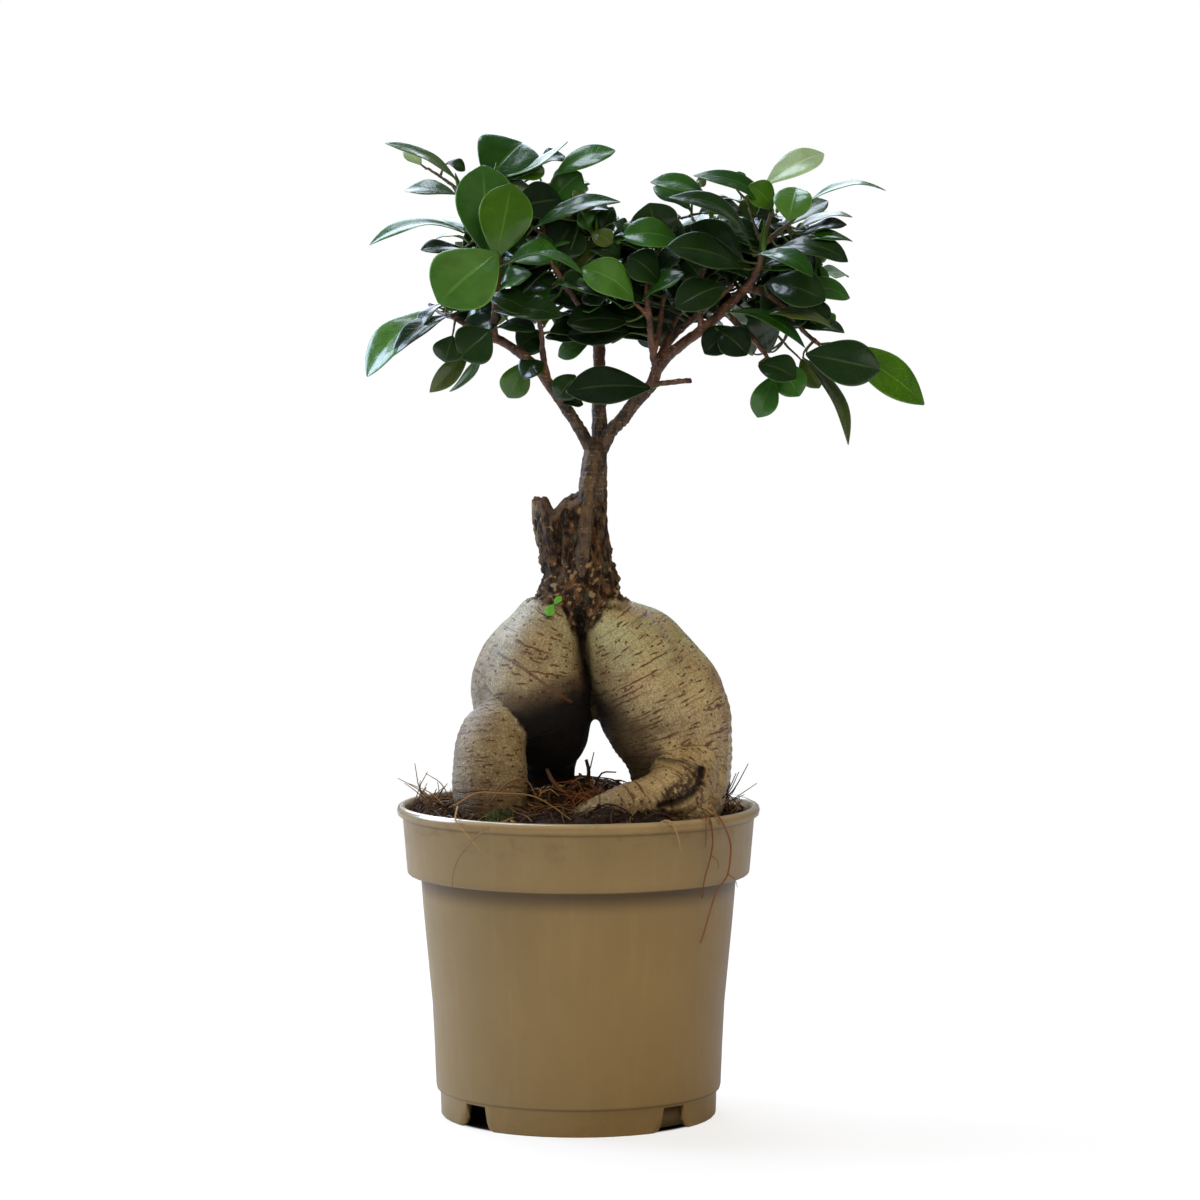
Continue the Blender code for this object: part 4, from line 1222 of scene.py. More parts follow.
# %% Leaves that stand for solids
LEFT_LEAVES = (
    ((-35, -8, 358), (-21, 6, 374.6), 27, (-0.1, -0.95, 0.3), 2, "mid"),
    ((-28, -6, 360), (-4, -2, 374), 13, (-0.5, -0.3, 0.8), -2, "green"),
    ((-46, -4, 359), (-73, -8, 373.5), 9, (0.3, -0.5, 0.8), 3, "grey"),
    ((-47, 8, 354), (-67, 12, 356), 11, (0.1, -0.6, 0.75), 2, "grey"),
    ((-43, -10, 339), (-79, -18, 336), 14, (0.1, -0.3, 0.95), 5, "green"),
    ((-44, 10, 333), (-60, 4, 333), 9, (0, -0.6, 0.8), 1, "deep"),
    ((-34, -20, 330), (-36, -12, 365), 23, (0, -1, 0.1), 1, "green"),
    ((-31, -24, 329), (-25, -24, 357), 21, (0.25, -1, 0), 1, "bright"),
    ((-30, -26, 331), (-52, -35, 312), 28, (0, -0.9, 0.4), 2, "fresh"),
    ((-25, -12, 348), (-6, -2, 352), 17, (0, -0.9, 0.3), 1, "dark"),
    ((-10, 4, 352), (1, 2, 362), 14, (0, -0.9, 0.2), 1, "green"),
    ((-9, 8, 361), (14, 12, 371.5), 13, (-0.3, -0.7, 0.6), 2, "green"),
    ((-16, -8, 341), (16, -2, 352), 12, (-0.2, -0.6, 0.75), 4, "mid"),
    ((-11, -8, 328), (-2, -6, 343), 20, (0, -1, 0.1), 1, "deep"),
    ((-26, -14, 328), (-8, -12, 333), 14, (0, -0.7, 0.7), 1, "green"),
    ((-27, -22, 327), (2, -28, 324), 14, (0, -0.16, 0.98), 5, "green"),
    ((21, -14, 313), (2, -18, 326), 17, (0.2, -0.85, 0.5), 4, "fresh"),
    ((19, -8, 305), (-4, -16, 305), 17, (0, -0.7, 0.7), 2, "dark"),
    ((-31, -20, 309), (-6, -27, 308), 14, (0, -0.7, 0.7), 2, "deep"),
    ((-53, -24, 311), (-80, -34, 286), 19, (-0.5, -0.6, 0.6), 3, "fresh"),
    ((-47, -28, 308), (-70, -36, 293), 11, (-0.1, -0.5, 0.85), 3, "deep"),
    ((-47, -30, 300), (-50, -32, 290), 12, (0, -1, -0.1), 1, "deep"),
    ((-33, -26, 302), (-44, -33, 292), 17, (0.2, -0.9, 0.3), 1, "deep"),
    ((-41, -18, 294), (-56, -22, 278.5), 8.5, (0.5, -0.75, 0.4), 2, "olive"),
    ((-36, -12, 294), (-48, -14, 278), 7, (0.9, -0.3, 0.3), 1, "green"),
    ((-20, -2, 290), (-27, 0, 276), 12, (0, -1, 0), 1, "bright"),
    ((28, -14, 280), (-4, -25, 280), 17, (0, -0.85, 0.5), 2, "dark"),
    ((-36, 38, 336), (-52, 62, 347), 17, (0, -0.3, 0.9), 3, "green"),
    ((-12, 30, 334), (-8, 56, 328), 16, (0, -0.4, 0.8), 3, "green"),
)
RIGHT_LEAVES = (
    ((51, -4, 349), (28, -12, 359), 13, (-0.2, -0.55, 0.8), 4, "green"),
    ((66, -16, 332), (34, -25, 352), 13, (-0.2, -0.5, 0.85), 8, "deep"),
    ((74, -8, 346), (44, -14, 361), 12, (-0.1, -0.6, 0.8), 6, "mid"),
    ((71, -2, 357), (94, 5, 370), 14, (-0.3, -0.8, 0.6), 2, "pale"),
    ((83, -12, 356), (79, -28, 344), 15, (0, -0.8, 0.6), 2, "fresh"),
    ((88, -8, 351), (117, -6, 356), 12, (-0.1, -0.25, 0.95), 4, "green"),
    ((78, -3, 341), (95, 0, 352), 15, (-0.35, -0.5, 0.75), 1, "grey"),
    ((83, -10, 340), (104, -12, 345), 12, (-0.3, -0.3, 0.9), 3, "olive"),
    ((76, -14, 333), (102, -20, 328), 15, (0.1, -0.6, 0.8), 4, "deep"),
    ((66, -20, 330), (88, -34, 323), 14, (0.1, -0.45, 0.9), 4, "mid"),
    ((71, -14, 320), (93, -24, 314), 17, (0, -0.85, 0.5), 2, "deep"),
    ((82, -4, 317), (104, -2, 315), 13, (0.1, -0.7, 0.7), 3, "green"),
    ((63, -14, 325), (34, -28, 334), 17, (0, -0.75, 0.65), 3, "deep"),
    ((56, -16, 319), (37, -26, 311), 15, (0, -0.85, 0.5), 2, "deep"),
    ((31, -6, 334), (27, -10, 350), 19, (0, -1, 0.2), 1, "deep"),
    ((39, -12, 335), (17, -18, 338), 15, (-0.1, -0.8, 0.6), 3, "green"),
    ((53, -10, 302), (64, -16, 293), 14, (0, -0.9, 0.4), 2, "dark"),
    ((56, -13, 309), (86, -22, 296), 11, (0.3, -0.5, 0.8), 5, "mid"),
    ((68, -20, 289), (82, -27, 284), 14, (0, -0.8, 0.6), 2, "deep"),
    ((74, -18, 285), (68, -20, 269), 11, (0, -1, -0.1), 1, "green"),
    ((85, -12, 292), (104, -14, 259), 12, (0.75, -0.5, 0.3), 4, "olive"),
    ((86, -18, 293), (114, -24, 287), 18, (0, -1, 0.1), 2, "deep"),
    ((98, -10, 297), (133, -6, 274), 16, (0.15, -0.95, 0.25), 4, "bright"),
    ((76, -12, 290), (84, -16, 277), 13, (0, -1, 0), 1, "green"),
    ((83, -12, 303), (101, -18, 302), 12, (0, -0.5, 0.85), 2, "deep"),
    ((13, 42, 330), (18, 66, 343), 17, (0, -0.3, 0.9), 3, "green"),
    ((70, 42, 337), (84, 62, 347), 17, (0, -0.3, 0.9), 3, "green"),
)
SETTLE_STEP = 1.5  # millimetres, fore or aft
SETTLED_FROM = 2.5  # a smaller gap than this is only the leaf's own curl
FINE_LEAF_LEVELS = 1


def leaf_mesh(name, rows, seed):
    rng = random.Random(seed)
    bm = bmesh.new()
    layers = leaf_layers(bm)
    reaches = [add_leaf(bm, layers, row, rng) for row in rows]
    return mesh_from(name, bm), max(reaches)


def shifted(row, shift):
    base, tip, *rest = row
    return ((base[0], base[1] + shift, base[2]), (tip[0], tip[1] + shift, tip[2]), *rest)


def settled_row(row, node):
    """The row moved fore or aft as far as its solid was."""
    low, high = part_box(node)
    middle = ((low + high) / 2 - AXIS).y / MM
    trial, _ = leaf_mesh("trial", [row], 1)
    trial_y = points_of(trial)[:, 1]
    bpy.data.meshes.remove(trial)
    gap = middle - (trial_y.min() + trial_y.max()) / 2
    return shifted(row, round(gap / SETTLE_STEP) * SETTLE_STEP if abs(gap) > SETTLED_FROM else 0.0)


def smooth_leaf(piece):
    finer = piece.modifiers.new("Finer", "SUBSURF")
    finer.levels = finer.render_levels = FINE_LEAF_LEVELS


for side, rows in (("left", LEFT_LEAVES), ("right", RIGHT_LEAVES)):
    for number, row in enumerate(rows, 1):
        node = f"leaf_{side}_{number:02d}"
        mesh, _ = leaf_mesh(f"fine_{node}", [settled_row(row, node)], number)
        smooth_leaf(new_piece(f"fine_{node}", mesh, leaf_green, node))
print("leaves that stand for solids:", len(LEFT_LEAVES) + len(RIGHT_LEAVES))

# %% [markdown]
# Between them sit smaller leaves that close the crown. They have no solid of their own, because they add
# nothing to where the plant can be touched. They are made as one piece for each part of the crown.

# %% Small leaves between
INNER_LEAVES = {
    "left": (
        ((-60, 5, 365), (-67, 6, 371), 8, (0.2, -0.7, 0.6), 1, "pale"),
        ((-50, 0, 366), (-43, 0, 363), 7, (0, -0.6, 0.7), 1, "deep"),
        ((-41, -5, 335), (-54, -8, 337), 8, (0, -0.2, 1), 2, "green"),
        ((-26, -2, 359), (-13, 2, 364), 12, (-0.2, -0.8, 0.5), 2, "bright"),
        ((-15, 8, 365), (-5, 12, 369), 10, (0, -0.5, 0.8), 2, "deep"),
        ((-7, 14, 356), (4, 16, 357), 9, (0, -0.6, 0.7), 2, "pale"),
        ((-31, -16, 316), (-18, -20, 324), 14, (-0.1, -0.5, 0.8), 2, "green"),
        ((-31, -18, 303), (-16, -24, 302), 11, (0, -0.5, 0.85), 2, "deep"),
        ((-36, -20, 315), (-18, -24, 309), 14, (0, -0.6, 0.8), 2, "deep"),
        ((-29, -12, 307), (-44, -16, 299), 13, (0, -0.7, 0.7), 2, "deep"),
        ((-50, -30, 312), (-60, -34, 303), 8, (-0.3, -0.4, 0.85), 2, "deep"),
        ((-13, -12, 290), (-21, -16, 284), 12, (0, -0.6, 0.8), 2, "deep"),
        ((-15, -2, 300), (-23, -6, 295), 12, (0, -0.9, 0.3), 2, "deep"),
        ((-23, 2, 300), (-14, 0, 294), 12, (0, -0.9, 0.3), 2, "deep"),
        ((-34, -6, 320), (-50, -2, 318), 12, (0, -0.6, 0.8), 2, "deep"),
        ((-30, -4, 312), (-44, 4, 304), 12, (0, -0.7, 0.6), 2, "deep"),
    ),
    "centre": (
        ((18, -8, 310), (-9, -14, 321), 14, (0.1, -0.3, 0.9), 2, "green"),
        ((20, -4, 301), (-4, -10, 300), 12, (0, -0.9, 0.4), 2, "dark"),
        ((-8, -8, 275), (2, -8, 274), 6, (0, -0.7, 0.6), 1, "deep"),
        ((-1, -8, 285), (-8, -12, 276), 11, (0, -1, 0.1), 2, "deep"),
        ((4, 14, 297), (-8, 14, 292), 8, (0, -0.9, 0.3), 2, "fresh"),
        ((4, -2, 340), (1, -4, 347), 8, (0, -0.7, 0.6), 1, "green"),
        ((8, 2, 337), (13, 0, 349), 9, (0, -0.7, 0.6), 1, "deep"),
        ((13, -2, 343), (19, -2, 340), 8, (0, -0.6, 0.7), 1, "deep"),
        ((5, -4, 339), (13, -8, 335), 9, (0, -0.8, 0.5), 1, "olive"),
        ((11, -2, 334), (24, -6, 340), 11, (-0.1, -0.6, 0.8), 2, "green"),
        ((4, -4, 332), (16, -10, 330), 10, (0, -0.6, 0.8), 2, "deep"),
        ((-1, 2, 345), (12, -2, 348), 9, (0, -0.4, 0.9), 2, "deep"),
        ((9, 5, 318), (-4, 8, 316), 13, (0, -0.7, 0.6), 2, "deep"),
        ((8, 6, 322), (22, 6, 320), 13, (0, -0.7, 0.6), 2, "deep"),
        ((29, -6, 322), (40, -2, 316), 12, (0, -0.7, 0.6), 2, "deep"),
        ((26, -9, 312), (14, -6, 318), 12, (0, -0.6, 0.8), 2, "deep"),
    ),
    "right": (
        ((43, 4, 348), (29, 2, 357), 12, (-0.1, -0.6, 0.7), 2, "green"),
        ((45, 4, 359), (49, 4, 358), 7, (0, -0.7, 0.6), 1, "olive"),
        ((58, 2, 361), (64, 2, 358), 8, (0, -0.6, 0.7), 1, "green"),
        ((74, -10, 348), (65, -14, 357), 12, (-0.3, -0.7, 0.6), 2, "bright"),
        ((84, -8, 338), (102, -10, 342), 9, (-0.1, -0.5, 0.85), 2, "deep"),
        ((82, -12, 334), (104, -14, 336), 9, (0, -0.45, 0.9), 3, "mid"),
        ((72, -18, 308), (96, -22, 304), 10, (0.1, -0.5, 0.85), 3, "olive"),
        ((60, -6, 303), (48, -10, 293), 13, (0, -0.85, 0.4), 2, "dark"),
        ((70, -6, 318), (80, -12, 303), 14, (0, -0.8, 0.5), 2, "deep"),
        ((30, 10, 313), (37, 10, 298), 14, (0, -0.95, 0.3), 1, "dark"),
        ((39, 12, 320), (47, 12, 305), 15, (0, -0.95, 0.3), 1, "dark"),
        ((25, 12, 308), (30, 12, 295), 12, (0, -0.95, 0.3), 1, "dark"),
        ((50, 10, 322), (54, 10, 308), 13, (0, -0.95, 0.3), 1, "dark"),
        ((84, -4, 313), (95, -9, 304), 12, (0, -0.7, 0.6), 2, "deep"),
        ((63, -10, 328), (43, -16, 342), 15, (-0.2, -0.8, 0.5), 2, "deep"),
        ((39, -6, 330), (47, -8, 321), 11, (0, -0.9, 0.3), 2, "deep"),
        ((31, -12, 320), (19, -14, 330), 15, (0, -0.8, 0.5), 2, "deep"),
        ((24, -10, 313), (40, -16, 324), 13, (-0.2, -0.5, 0.8), 2, "green"),
        ((67, 8, 292), (63, 4, 304), 9, (0, -1, 0.1), 2, "olive"),
        ((73, -4, 293), (68, -10, 310), 13, (0, -1, 0.2), 2, "deep"),
        ((76, -8, 307), (89, -12, 311), 15, (0, -0.9, 0.3), 2, "deep"),
        ((85, -2, 291), (92, -6, 280), 10, (0.2, -1, -0.1), 2, "olive"),
        ((91, -6, 307), (98, -8, 305), 9, (0, -0.5, 0.9), 1, "green"),
        ((50, -6, 326), (60, 0, 334), 13, (0, -0.6, 0.8), 2, "deep"),
        ((66, -4, 322), (54, 2, 328), 13, (0, -0.6, 0.8), 2, "deep"),
        ((70, -6, 326), (84, 0, 330), 13, (0, -0.6, 0.8), 2, "deep"),
    ),
}

for part, rows in INNER_LEAVES.items():
    mesh, reach = leaf_mesh(f"inner_leaves_{part}", rows, len(part))
    smooth_leaf(new_piece(f"inner_leaves_{part}", mesh, leaf_green))
    print(f"inner leaves, {part}: {len(rows)}, longest stalk {reach:.0f} mm")

# %% [markdown]
# Behind the first row of leaves the crown is dark and full, so that hardly any light comes through. A leaf
# there points away from the nearest bark. A jittered lattice inside the crown's outline, in three layers
# from front to back, says where each one sits; leaves that would stick out of the outline are left out.

# %% The crown's outline
CROWN_OUTLINE = ((-44, 340), (-41, 357), (-28, 366), (-13, 365), (4, 361), (9, 348), (24, 343), (34, 351),
                 (55, 355), (84, 353), (92, 340), (95, 317), (88, 301), (64, 300), (47, 304), (32, 305),
                 (24, 296), (2, 297), (-19, 301), (-38, 300), (-54, 306), (-49, 325))


def inside(x, z, outline):
    """Whether the place is inside the outline: a line to the right then crosses it an odd number of times."""
    crossed = False
    for (x1, z1), (x2, z2) in zip(outline, outline[1:] + outline[:1]):
        if (z1 > z) != (z2 > z) and x < x1 + (z - z1) / (z2 - z1) * (x2 - x1):
            crossed = not crossed
    return crossed


print("points in the crown's outline:", len(CROWN_OUTLINE))

# %% A leaf that points away from the bark
LONGEST_STRETCH = 17  # from the bark to the middle of a leaf
FIRST_OFF_BARK = 3.5


def leaf_from_bark(spot, rng):
    """A row for a leaf over the spot that points away from the nearest bark, or None where it has no room."""
    place, _, _, _ = scion_surface.find_nearest(at(*spot))
    bark = (place - AXIS) / MM
    out = spot - bark
    if out.length > LONGEST_STRETCH:
        return None
    aim = out.normalized() + Vector((rng.gauss(0, 0.3), rng.gauss(-0.1, 0.25), rng.gauss(0.15, 0.25)))
    aim.normalize()
    length = rng.uniform(15, 22)
    base = bark + aim * max(FIRST_OFF_BARK, out.length - length / 2)
    tip = base + aim * length
    if not inside(tip.x, tip.z, CROWN_OUTLINE):
        return None
    facing = Vector((rng.gauss(0, 0.25), -0.6, 0.75))
    tint = rng.choice(("dark", "deep", "deep", "deep", "green", "olive"))
    return base, tip, length * rng.uniform(0.55, 0.68), facing, 2, tint


print("a leaf reaches at most", LONGEST_STRETCH, "mm from the bark")

# %% Leaves inside the crown
CROWN_LAYERS = ((1, 8.0), (11, 8.5), (22, 9.5))  # how far back a layer is, and how far apart its leaves
CROWN_WIDTH = (-56, 98)
CROWN_HEIGHT = (298, 368)
CROWN_JITTER = 0.35  # of the spacing

rng = random.Random(12)
grown = 0
for number, (depth, spacing) in enumerate(CROWN_LAYERS):
    rows = []
    for across in np.arange(*CROWN_WIDTH, spacing):
        for height in np.arange(*CROWN_HEIGHT, spacing * 0.85):
            jitter = [rng.uniform(-CROWN_JITTER, CROWN_JITTER) * spacing for _ in range(3)]
            spot = Vector((across, depth, height)) + Vector(jitter)
            if inside(spot.x, spot.z, CROWN_OUTLINE):
                rows.append(leaf_from_bark(spot, rng))
    rows = [row for row in rows if row]
    grown += len(rows)
    mesh, _ = leaf_mesh(f"crown_leaves_{number}", rows, number)
    new_piece(f"crown_leaves_{number}", mesh, leaf_green)
print("leaves inside the crown:", grown)

# %% [markdown]
# The far side of the crown is as full as the near one. Nothing tells its leaves one by one, so they grow
# by the plant's own rule: one leaf at a time round the twig, each turned by the golden angle from the last.

# %% Leaves of the far side
GOLDEN_ANGLE = math.radians(137.5)
FARTHEST = 67  # the solids reach 70 mm back
FAR_OUTLINE = ((-47, 296), (-48, 350), (-41, 358), (-28, 368), (4, 364), (9, 349), (24, 345), (34, 353),
               (55, 358), (86, 357), (106, 342), (108, 300), (88, 292), (60, 298), (24, 290), (-19, 292))
FAR_TWIGS = {
    "far_left": (((-31, 8, 313), (-34, 28, 327), (-38, 54, 352)), 9),
    "far_edge_left": (((-44, 20, 322), (-50, 25, 326), (-56, 30, 330)), 6),
    "far_inner_left": (((-8, 12, 325), (-16, 26, 340), (-18, 36, 352)), 8),
    "far_centre": (((11, 18, 313), (13, 38, 328), (15, 56, 338)), 8),
    "far_middle": (((13, 30, 321), (26, 40, 318), (36, 50, 320)), 6),
    "far_inner_right": (((40, 6, 322), (39, 12, 328), (38, 20, 334)), 6),
    "far_right": (((61, 8, 315), (68, 32, 330), (78, 54, 348)), 9),
    "far_edge_right": (((65, 20, 323), (82, 26, 322), (96, 30, 326)), 8),
    "far_low_right": (((79, -4, 308), (86, 4, 306), (92, 16, 308)), 5),
    "far_low_left": (((-45, -6, 306), (-52, 4, 308), (-58, 16, 312)), 5),
}


def leaves_round(points, count, rng):
    """Rows for leaves that grow round a twig, each a golden angle on from the one before."""
    run = [Vector(point) for point in curve_through(points, 8)]
    turn = rng.uniform(0, 2 * math.pi)
    rows = []
    for number in range(count):
        share = (number + 0.6) / count
        index = min(len(run) - 2, int(share * (len(run) - 1)))
        ahead = (run[index + 1] - run[index]).normalized()
        sideways = ahead.orthogonal().normalized()
        out = Matrix.Rotation(turn + GOLDEN_ANGLE * number, 3, ahead) @ sideways
        aim = (ahead * rng.uniform(0.35, 0.7) + out + Vector((0, 0, 0.15))).normalized()
        length = rng.uniform(17, 26)
        base = run[index] + aim * rng.uniform(4, 6)
        length = min(length, (FARTHEST - base.y) / max(aim.y, 0.01))
        facing = (Vector((0, 0.15, 1)) + ahead * 0.4 - aim * 0.2).normalized()
        tint = rng.choice(("deep", "deep", "green", "green", "olive", "fresh"))
        tip = base + aim * length
        if inside(tip.x, tip.z, FAR_OUTLINE):
            rows.append((base, tip, length * rng.uniform(0.52, 0.66), facing, 2, tint))
    return rows


rng = random.Random(41)
grown = 0
for part, (points, count) in FAR_TWIGS.items():
    rows = leaves_round(points, count, rng)
    grown += len(rows)
    mesh, _ = leaf_mesh(f"leaves_{part}", rows, count)
    smooth_leaf(new_piece(f"leaves_{part}", mesh, leaf_green))
print("leaves on the far side:", grown)

# %% [markdown]
# Each shoot ends in a rolled young leaf, a slim pale spike. A tapering tube is all it needs.

# %% Buds
BUD_SHAPE = ((0, 0.7), (0.2, 1.0), (0.45, 0.95), (0.7, 0.6), (0.9, 0.3), (1, 0.08))  # along, and thickness
BUDS = (  # base, tip and radius
    ((70, -12, 331), (70.5, -14, 343), 1.5),
    ((-45, 0, 355), (-47, -1, 362), 1.1),
    ((-32, -6, 357), (-31, -7, 366), 1.2),
    ((7, 0, 338), (7, -1, 346), 1.0),
    ((51, -4, 343), (50, -4, 351), 1.1),
    ((85, -8, 348), (87, -8, 355), 1.1),
    ((-38, 54, 352), (-38, 57, 360), 1.1),
    ((78, 54, 348), (80, 57, 355), 1.1),
)
bm = bmesh.new()
layers = leaf_layers(bm)
bud_green = [(layers["tint"], tint_of("bright")), (layers["upper"], 1.0), (layers["across"], 0.5)]
for base, tip, radius in BUDS:
    run = [Vector(base).lerp(Vector(tip), share) for share, _ in BUD_SHAPE]
    add_tube(bm, run, [radius * thickness for _, thickness in BUD_SHAPE], 8, bud_green)
smooth_leaf(new_piece("leaf_buds", mesh_from("leaf_buds", bm), leaf_green))
print("buds:", len(BUDS))

# %% [markdown]
# ## Step 12: the peat
# Potting peat is a dark, springy mass of crumbs and fibres, higher where it was pressed round the roots.
# The body of it is one closed plug, a turned grid whose top is moved by noise. On top lie loose crumbs and
# fibres: a smooth mound with a bumpy finish alone would look like felt.

# %% The top of the peat
SOIL_EDGE = RIM_TOP - 5.4
SOIL_MOUND = 10.5
SOIL_RADIUS = 65
SOIL_GRAIN = ((11.0, 1.6), (4.2, 1.2), (1.9, 0.8))  # size of the bumps and how high they are
SOIL_LUMPS = (  # x, y, height and reach
    (-30, -44, 3.4, 9), (-8, -50, 4.6, 10), (12, -51, 7.0, 10), (31, -47, 7.4, 9), (-52, -24, 4.0, 10),
    (-58, 0, 3.5, 12), (56, -10, 3.0, 9), (0, -8, 3.0, 12), (4, 20, 3.5, 14), (50, 18, 2.5, 12),
)


def soil_top(x, y):
    """The height of the peat at that place."""
    edge = min(1.0, math.hypot(x, y) / SOIL_RADIUS)
    height = SOIL_EDGE + SOIL_MOUND * (1 - edge ** 2) ** 1.5 * (1 - 0.008 * x + 0.004 * y)
    for lump_x, lump_y, rise_by, reach in SOIL_LUMPS:
        height += rise_by * math.exp(-((x - lump_x) ** 2 + (y - lump_y) ** 2) / reach ** 2)
    calm = 1.0 if edge < 0.93 else max(0.2, (1 - edge) / 0.07)
    for size, amount in SOIL_GRAIN:
        height += amount * calm * noise.noise(Vector((x / size, y / size, size)))
    return height


print(f"peat in the middle of the pot: {soil_top(0, 0):.1f} mm")

# %% The plug of peat
SOIL_RINGS = 52
SOIL_STEPS = 240
SOIL_BOTTOM = 14.0
SOIL_SIDE = ((64.6, 104), (58.2, 93), (53.2, SOIL_BOTTOM + 2), (52.2, SOIL_BOTTOM))  # radius and height


def peat_plug():
    bm = bmesh.new()
    rings = []
    angles = [2 * math.pi * step / SOIL_STEPS for step in range(SOIL_STEPS)]
    for ring in range(1, SOIL_RINGS + 1):
        radius = (SOIL_RADIUS + 0.4) * ring / SOIL_RINGS
        places = [round_axis(radius, angle) for angle in angles]
        rings.append([bm.verts.new(at(x, y, soil_top(x, y))) for x, y in places])
    for radius, height in SOIL_SIDE:
        rings.append([bm.verts.new(at(*round_axis(radius, angle), height)) for angle in angles])
    for inner, outer in zip(rings, rings[1:]):
        for step in range(SOIL_STEPS):
            after = (step + 1) % SOIL_STEPS
            bm.faces.new((inner[step], outer[step], outer[after], inner[after]))
    for ring, height in ((rings[0], soil_top(0, 0)), (rings[-1], SOIL_BOTTOM)):
        middle = bm.verts.new(at(0, 0, height))
        for step in range(SOIL_STEPS):
            bm.faces.new((ring[step], ring[(step + 1) % SOIL_STEPS], middle))
    return mesh_from("peat_plug", bm)


def peat_finish(name, dark, light):
    finish = Finish(name, 0.92, specular=0.2)
    tone = finish.stored("tone")
    damp = finish.noise(finish.place(8, 8, 8), 4.0, 0.7)
    crumb = finish.noise(finish.place(1.6, 1.6, 1.6), 4.0, 0.7)
    base = finish.mix((damp * 0.5 + crumb * 0.5).between(0.4, 0.62), colour(*dark), colour(*light))
    base = finish.mix(tone.between(0.55, 1.0) * 0.5, base, colour(92, 69, 45))
    pale = finish.noise(finish.place(1.0, 1.0, 4.0), 2.0).between(0.68, 0.76)
    base = finish.mix(pale * 0.5, base, colour(110, 90, 62))
    dust = finish.noise(finish.place(0.5, 0.5, 0.5), 3.0)
    return finish.finished(base, None, crumb + dust, 0.5)


peat_brown = peat_finish("peat", (17, 12, 8), (58, 42, 27))
peat = new_piece("peat_body", peat_plug(), peat_brown, "soil")
print("peat faces:", len(peat.data.polygons))

# %% [markdown]
# Crumbs are lumps of a few millimetres. Each is a small sphere whose points are pushed in and out, turned
# at random and half sunk in the peat. All of them together are one piece.

# %% Loose crumbs
CRUMBS = 1500
BIG_CRUMBS = 0.12  # of all
FULL_TURN = 6.28  # radians, near enough


def crumb_field():
    rng = random.Random(7)
    bm = bmesh.new()
    tone = bm.verts.layers.float.new("tone")
    for _ in range(CRUMBS):
        radius = SOIL_RADIUS * math.sqrt(rng.random()) * 0.985
        angle = rng.uniform(0, 2 * math.pi)
        size = rng.uniform(0.5, 1.25) * (1.7 if rng.random() < BIG_CRUMBS else 1.0)
        x, y = round_axis(radius, angle)
        spot = at(x, y, soil_top(x, y) + size * 0.25)
        turn = Matrix.Rotation(rng.uniform(0, FULL_TURN), 4, (rng.random() + 0.1, rng.random(), rng.random()))
        shape = Matrix.Diagonal((rng.uniform(0.7, 1.4), rng.uniform(0.6, 1.1), rng.uniform(0.45, 0.8), 1))
        made = bmesh.ops.create_icosphere(bm, subdivisions=1, radius=size * MM,
                                          matrix=Matrix.Translation(spot) @ turn @ shape)
        shade = rng.random()
        for vert in made["verts"]:
            vert.co += (vert.co - spot) * 0.45 * noise.noise(vert.co / MM / size)
            vert[tone] = shade
    return mesh_from("peat_crumbs", bm)


new_piece("peat_crumbs", crumb_field(), peat_brown)
print("crumbs:", CRUMBS)

# %% [markdown]
# Dead roots and coir fibres lie over the peat. Ginger ones gather between the bulbs, and at the left and
# right of the rim some stand up against the light. All of these are scattered by a seeded rule: a short run
# that wanders over the surface.

# %% One fibre


def fibre_finish():
    finish = Finish("fibres", 0.8, specular=0.25)
    tone = finish.stored("tone")
    grainy = finish.noise(finish.place(1.5, 1.5, 1.5), 2.0)
    base = finish.mix(tone.between(0.0, 0.6), colour(30, 21, 14), colour(88, 64, 40))
    base = finish.mix(tone.between(0.6, 1.0), base, colour(148, 118, 76))
    base = finish.mix(grainy.between(0.5, 0.75) * 0.4, base, colour(60, 42, 28))
    ginger = finish.stored("ginger")
    base = finish.mix(ginger, base, colour(122, 70, 38))
    return finish.finished(base, None, grainy, 0.1)


def wandering(rng, x, y, length, lift):
    """Points of a fibre that starts at x, y, wanders over the peat and may rise from it."""
    heading = rng.uniform(0, 2 * math.pi)
    points = []
    for step in range(6):
        share = step / 5
        if math.hypot(x, y) > SOIL_RADIUS - 1.5:
            heading = math.atan2(-y, -x) + rng.uniform(-0.6, 0.6)
        hump = lift * math.sin(math.pi * min(1.0, share * 0.9 + 0.05)) + 0.3
        points.append((x, y, soil_top(x, y) + hump))
        heading += rng.uniform(-0.55, 0.55)
        x += math.cos(heading) * length / 5
        y += math.sin(heading) * length / 5
    return points


def fibre_layers(bm):
    return [bm.verts.layers.float.new(word) for word in ("tone", "ginger")]


def fibre_mesh(name, fibres):
    """fibres is [(points, start radius, end radius, tone, ginger)]."""
    bm = bmesh.new()
    tone, ginger = fibre_layers(bm)
    for points, start, stop, shade, redness in fibres:
        run = curve_through(points, 3)
        add_tube(bm, run, tapered(start, stop, run), 5, [(tone, shade), (ginger, redness)])
    return mesh_from(name, bm)


print("a fibre carries a tone and how ginger it is")

# %% Scattered fibres
LYING_FIBRES = 330
GINGER_FIBRES = 50
RIM_FIBRES = 60


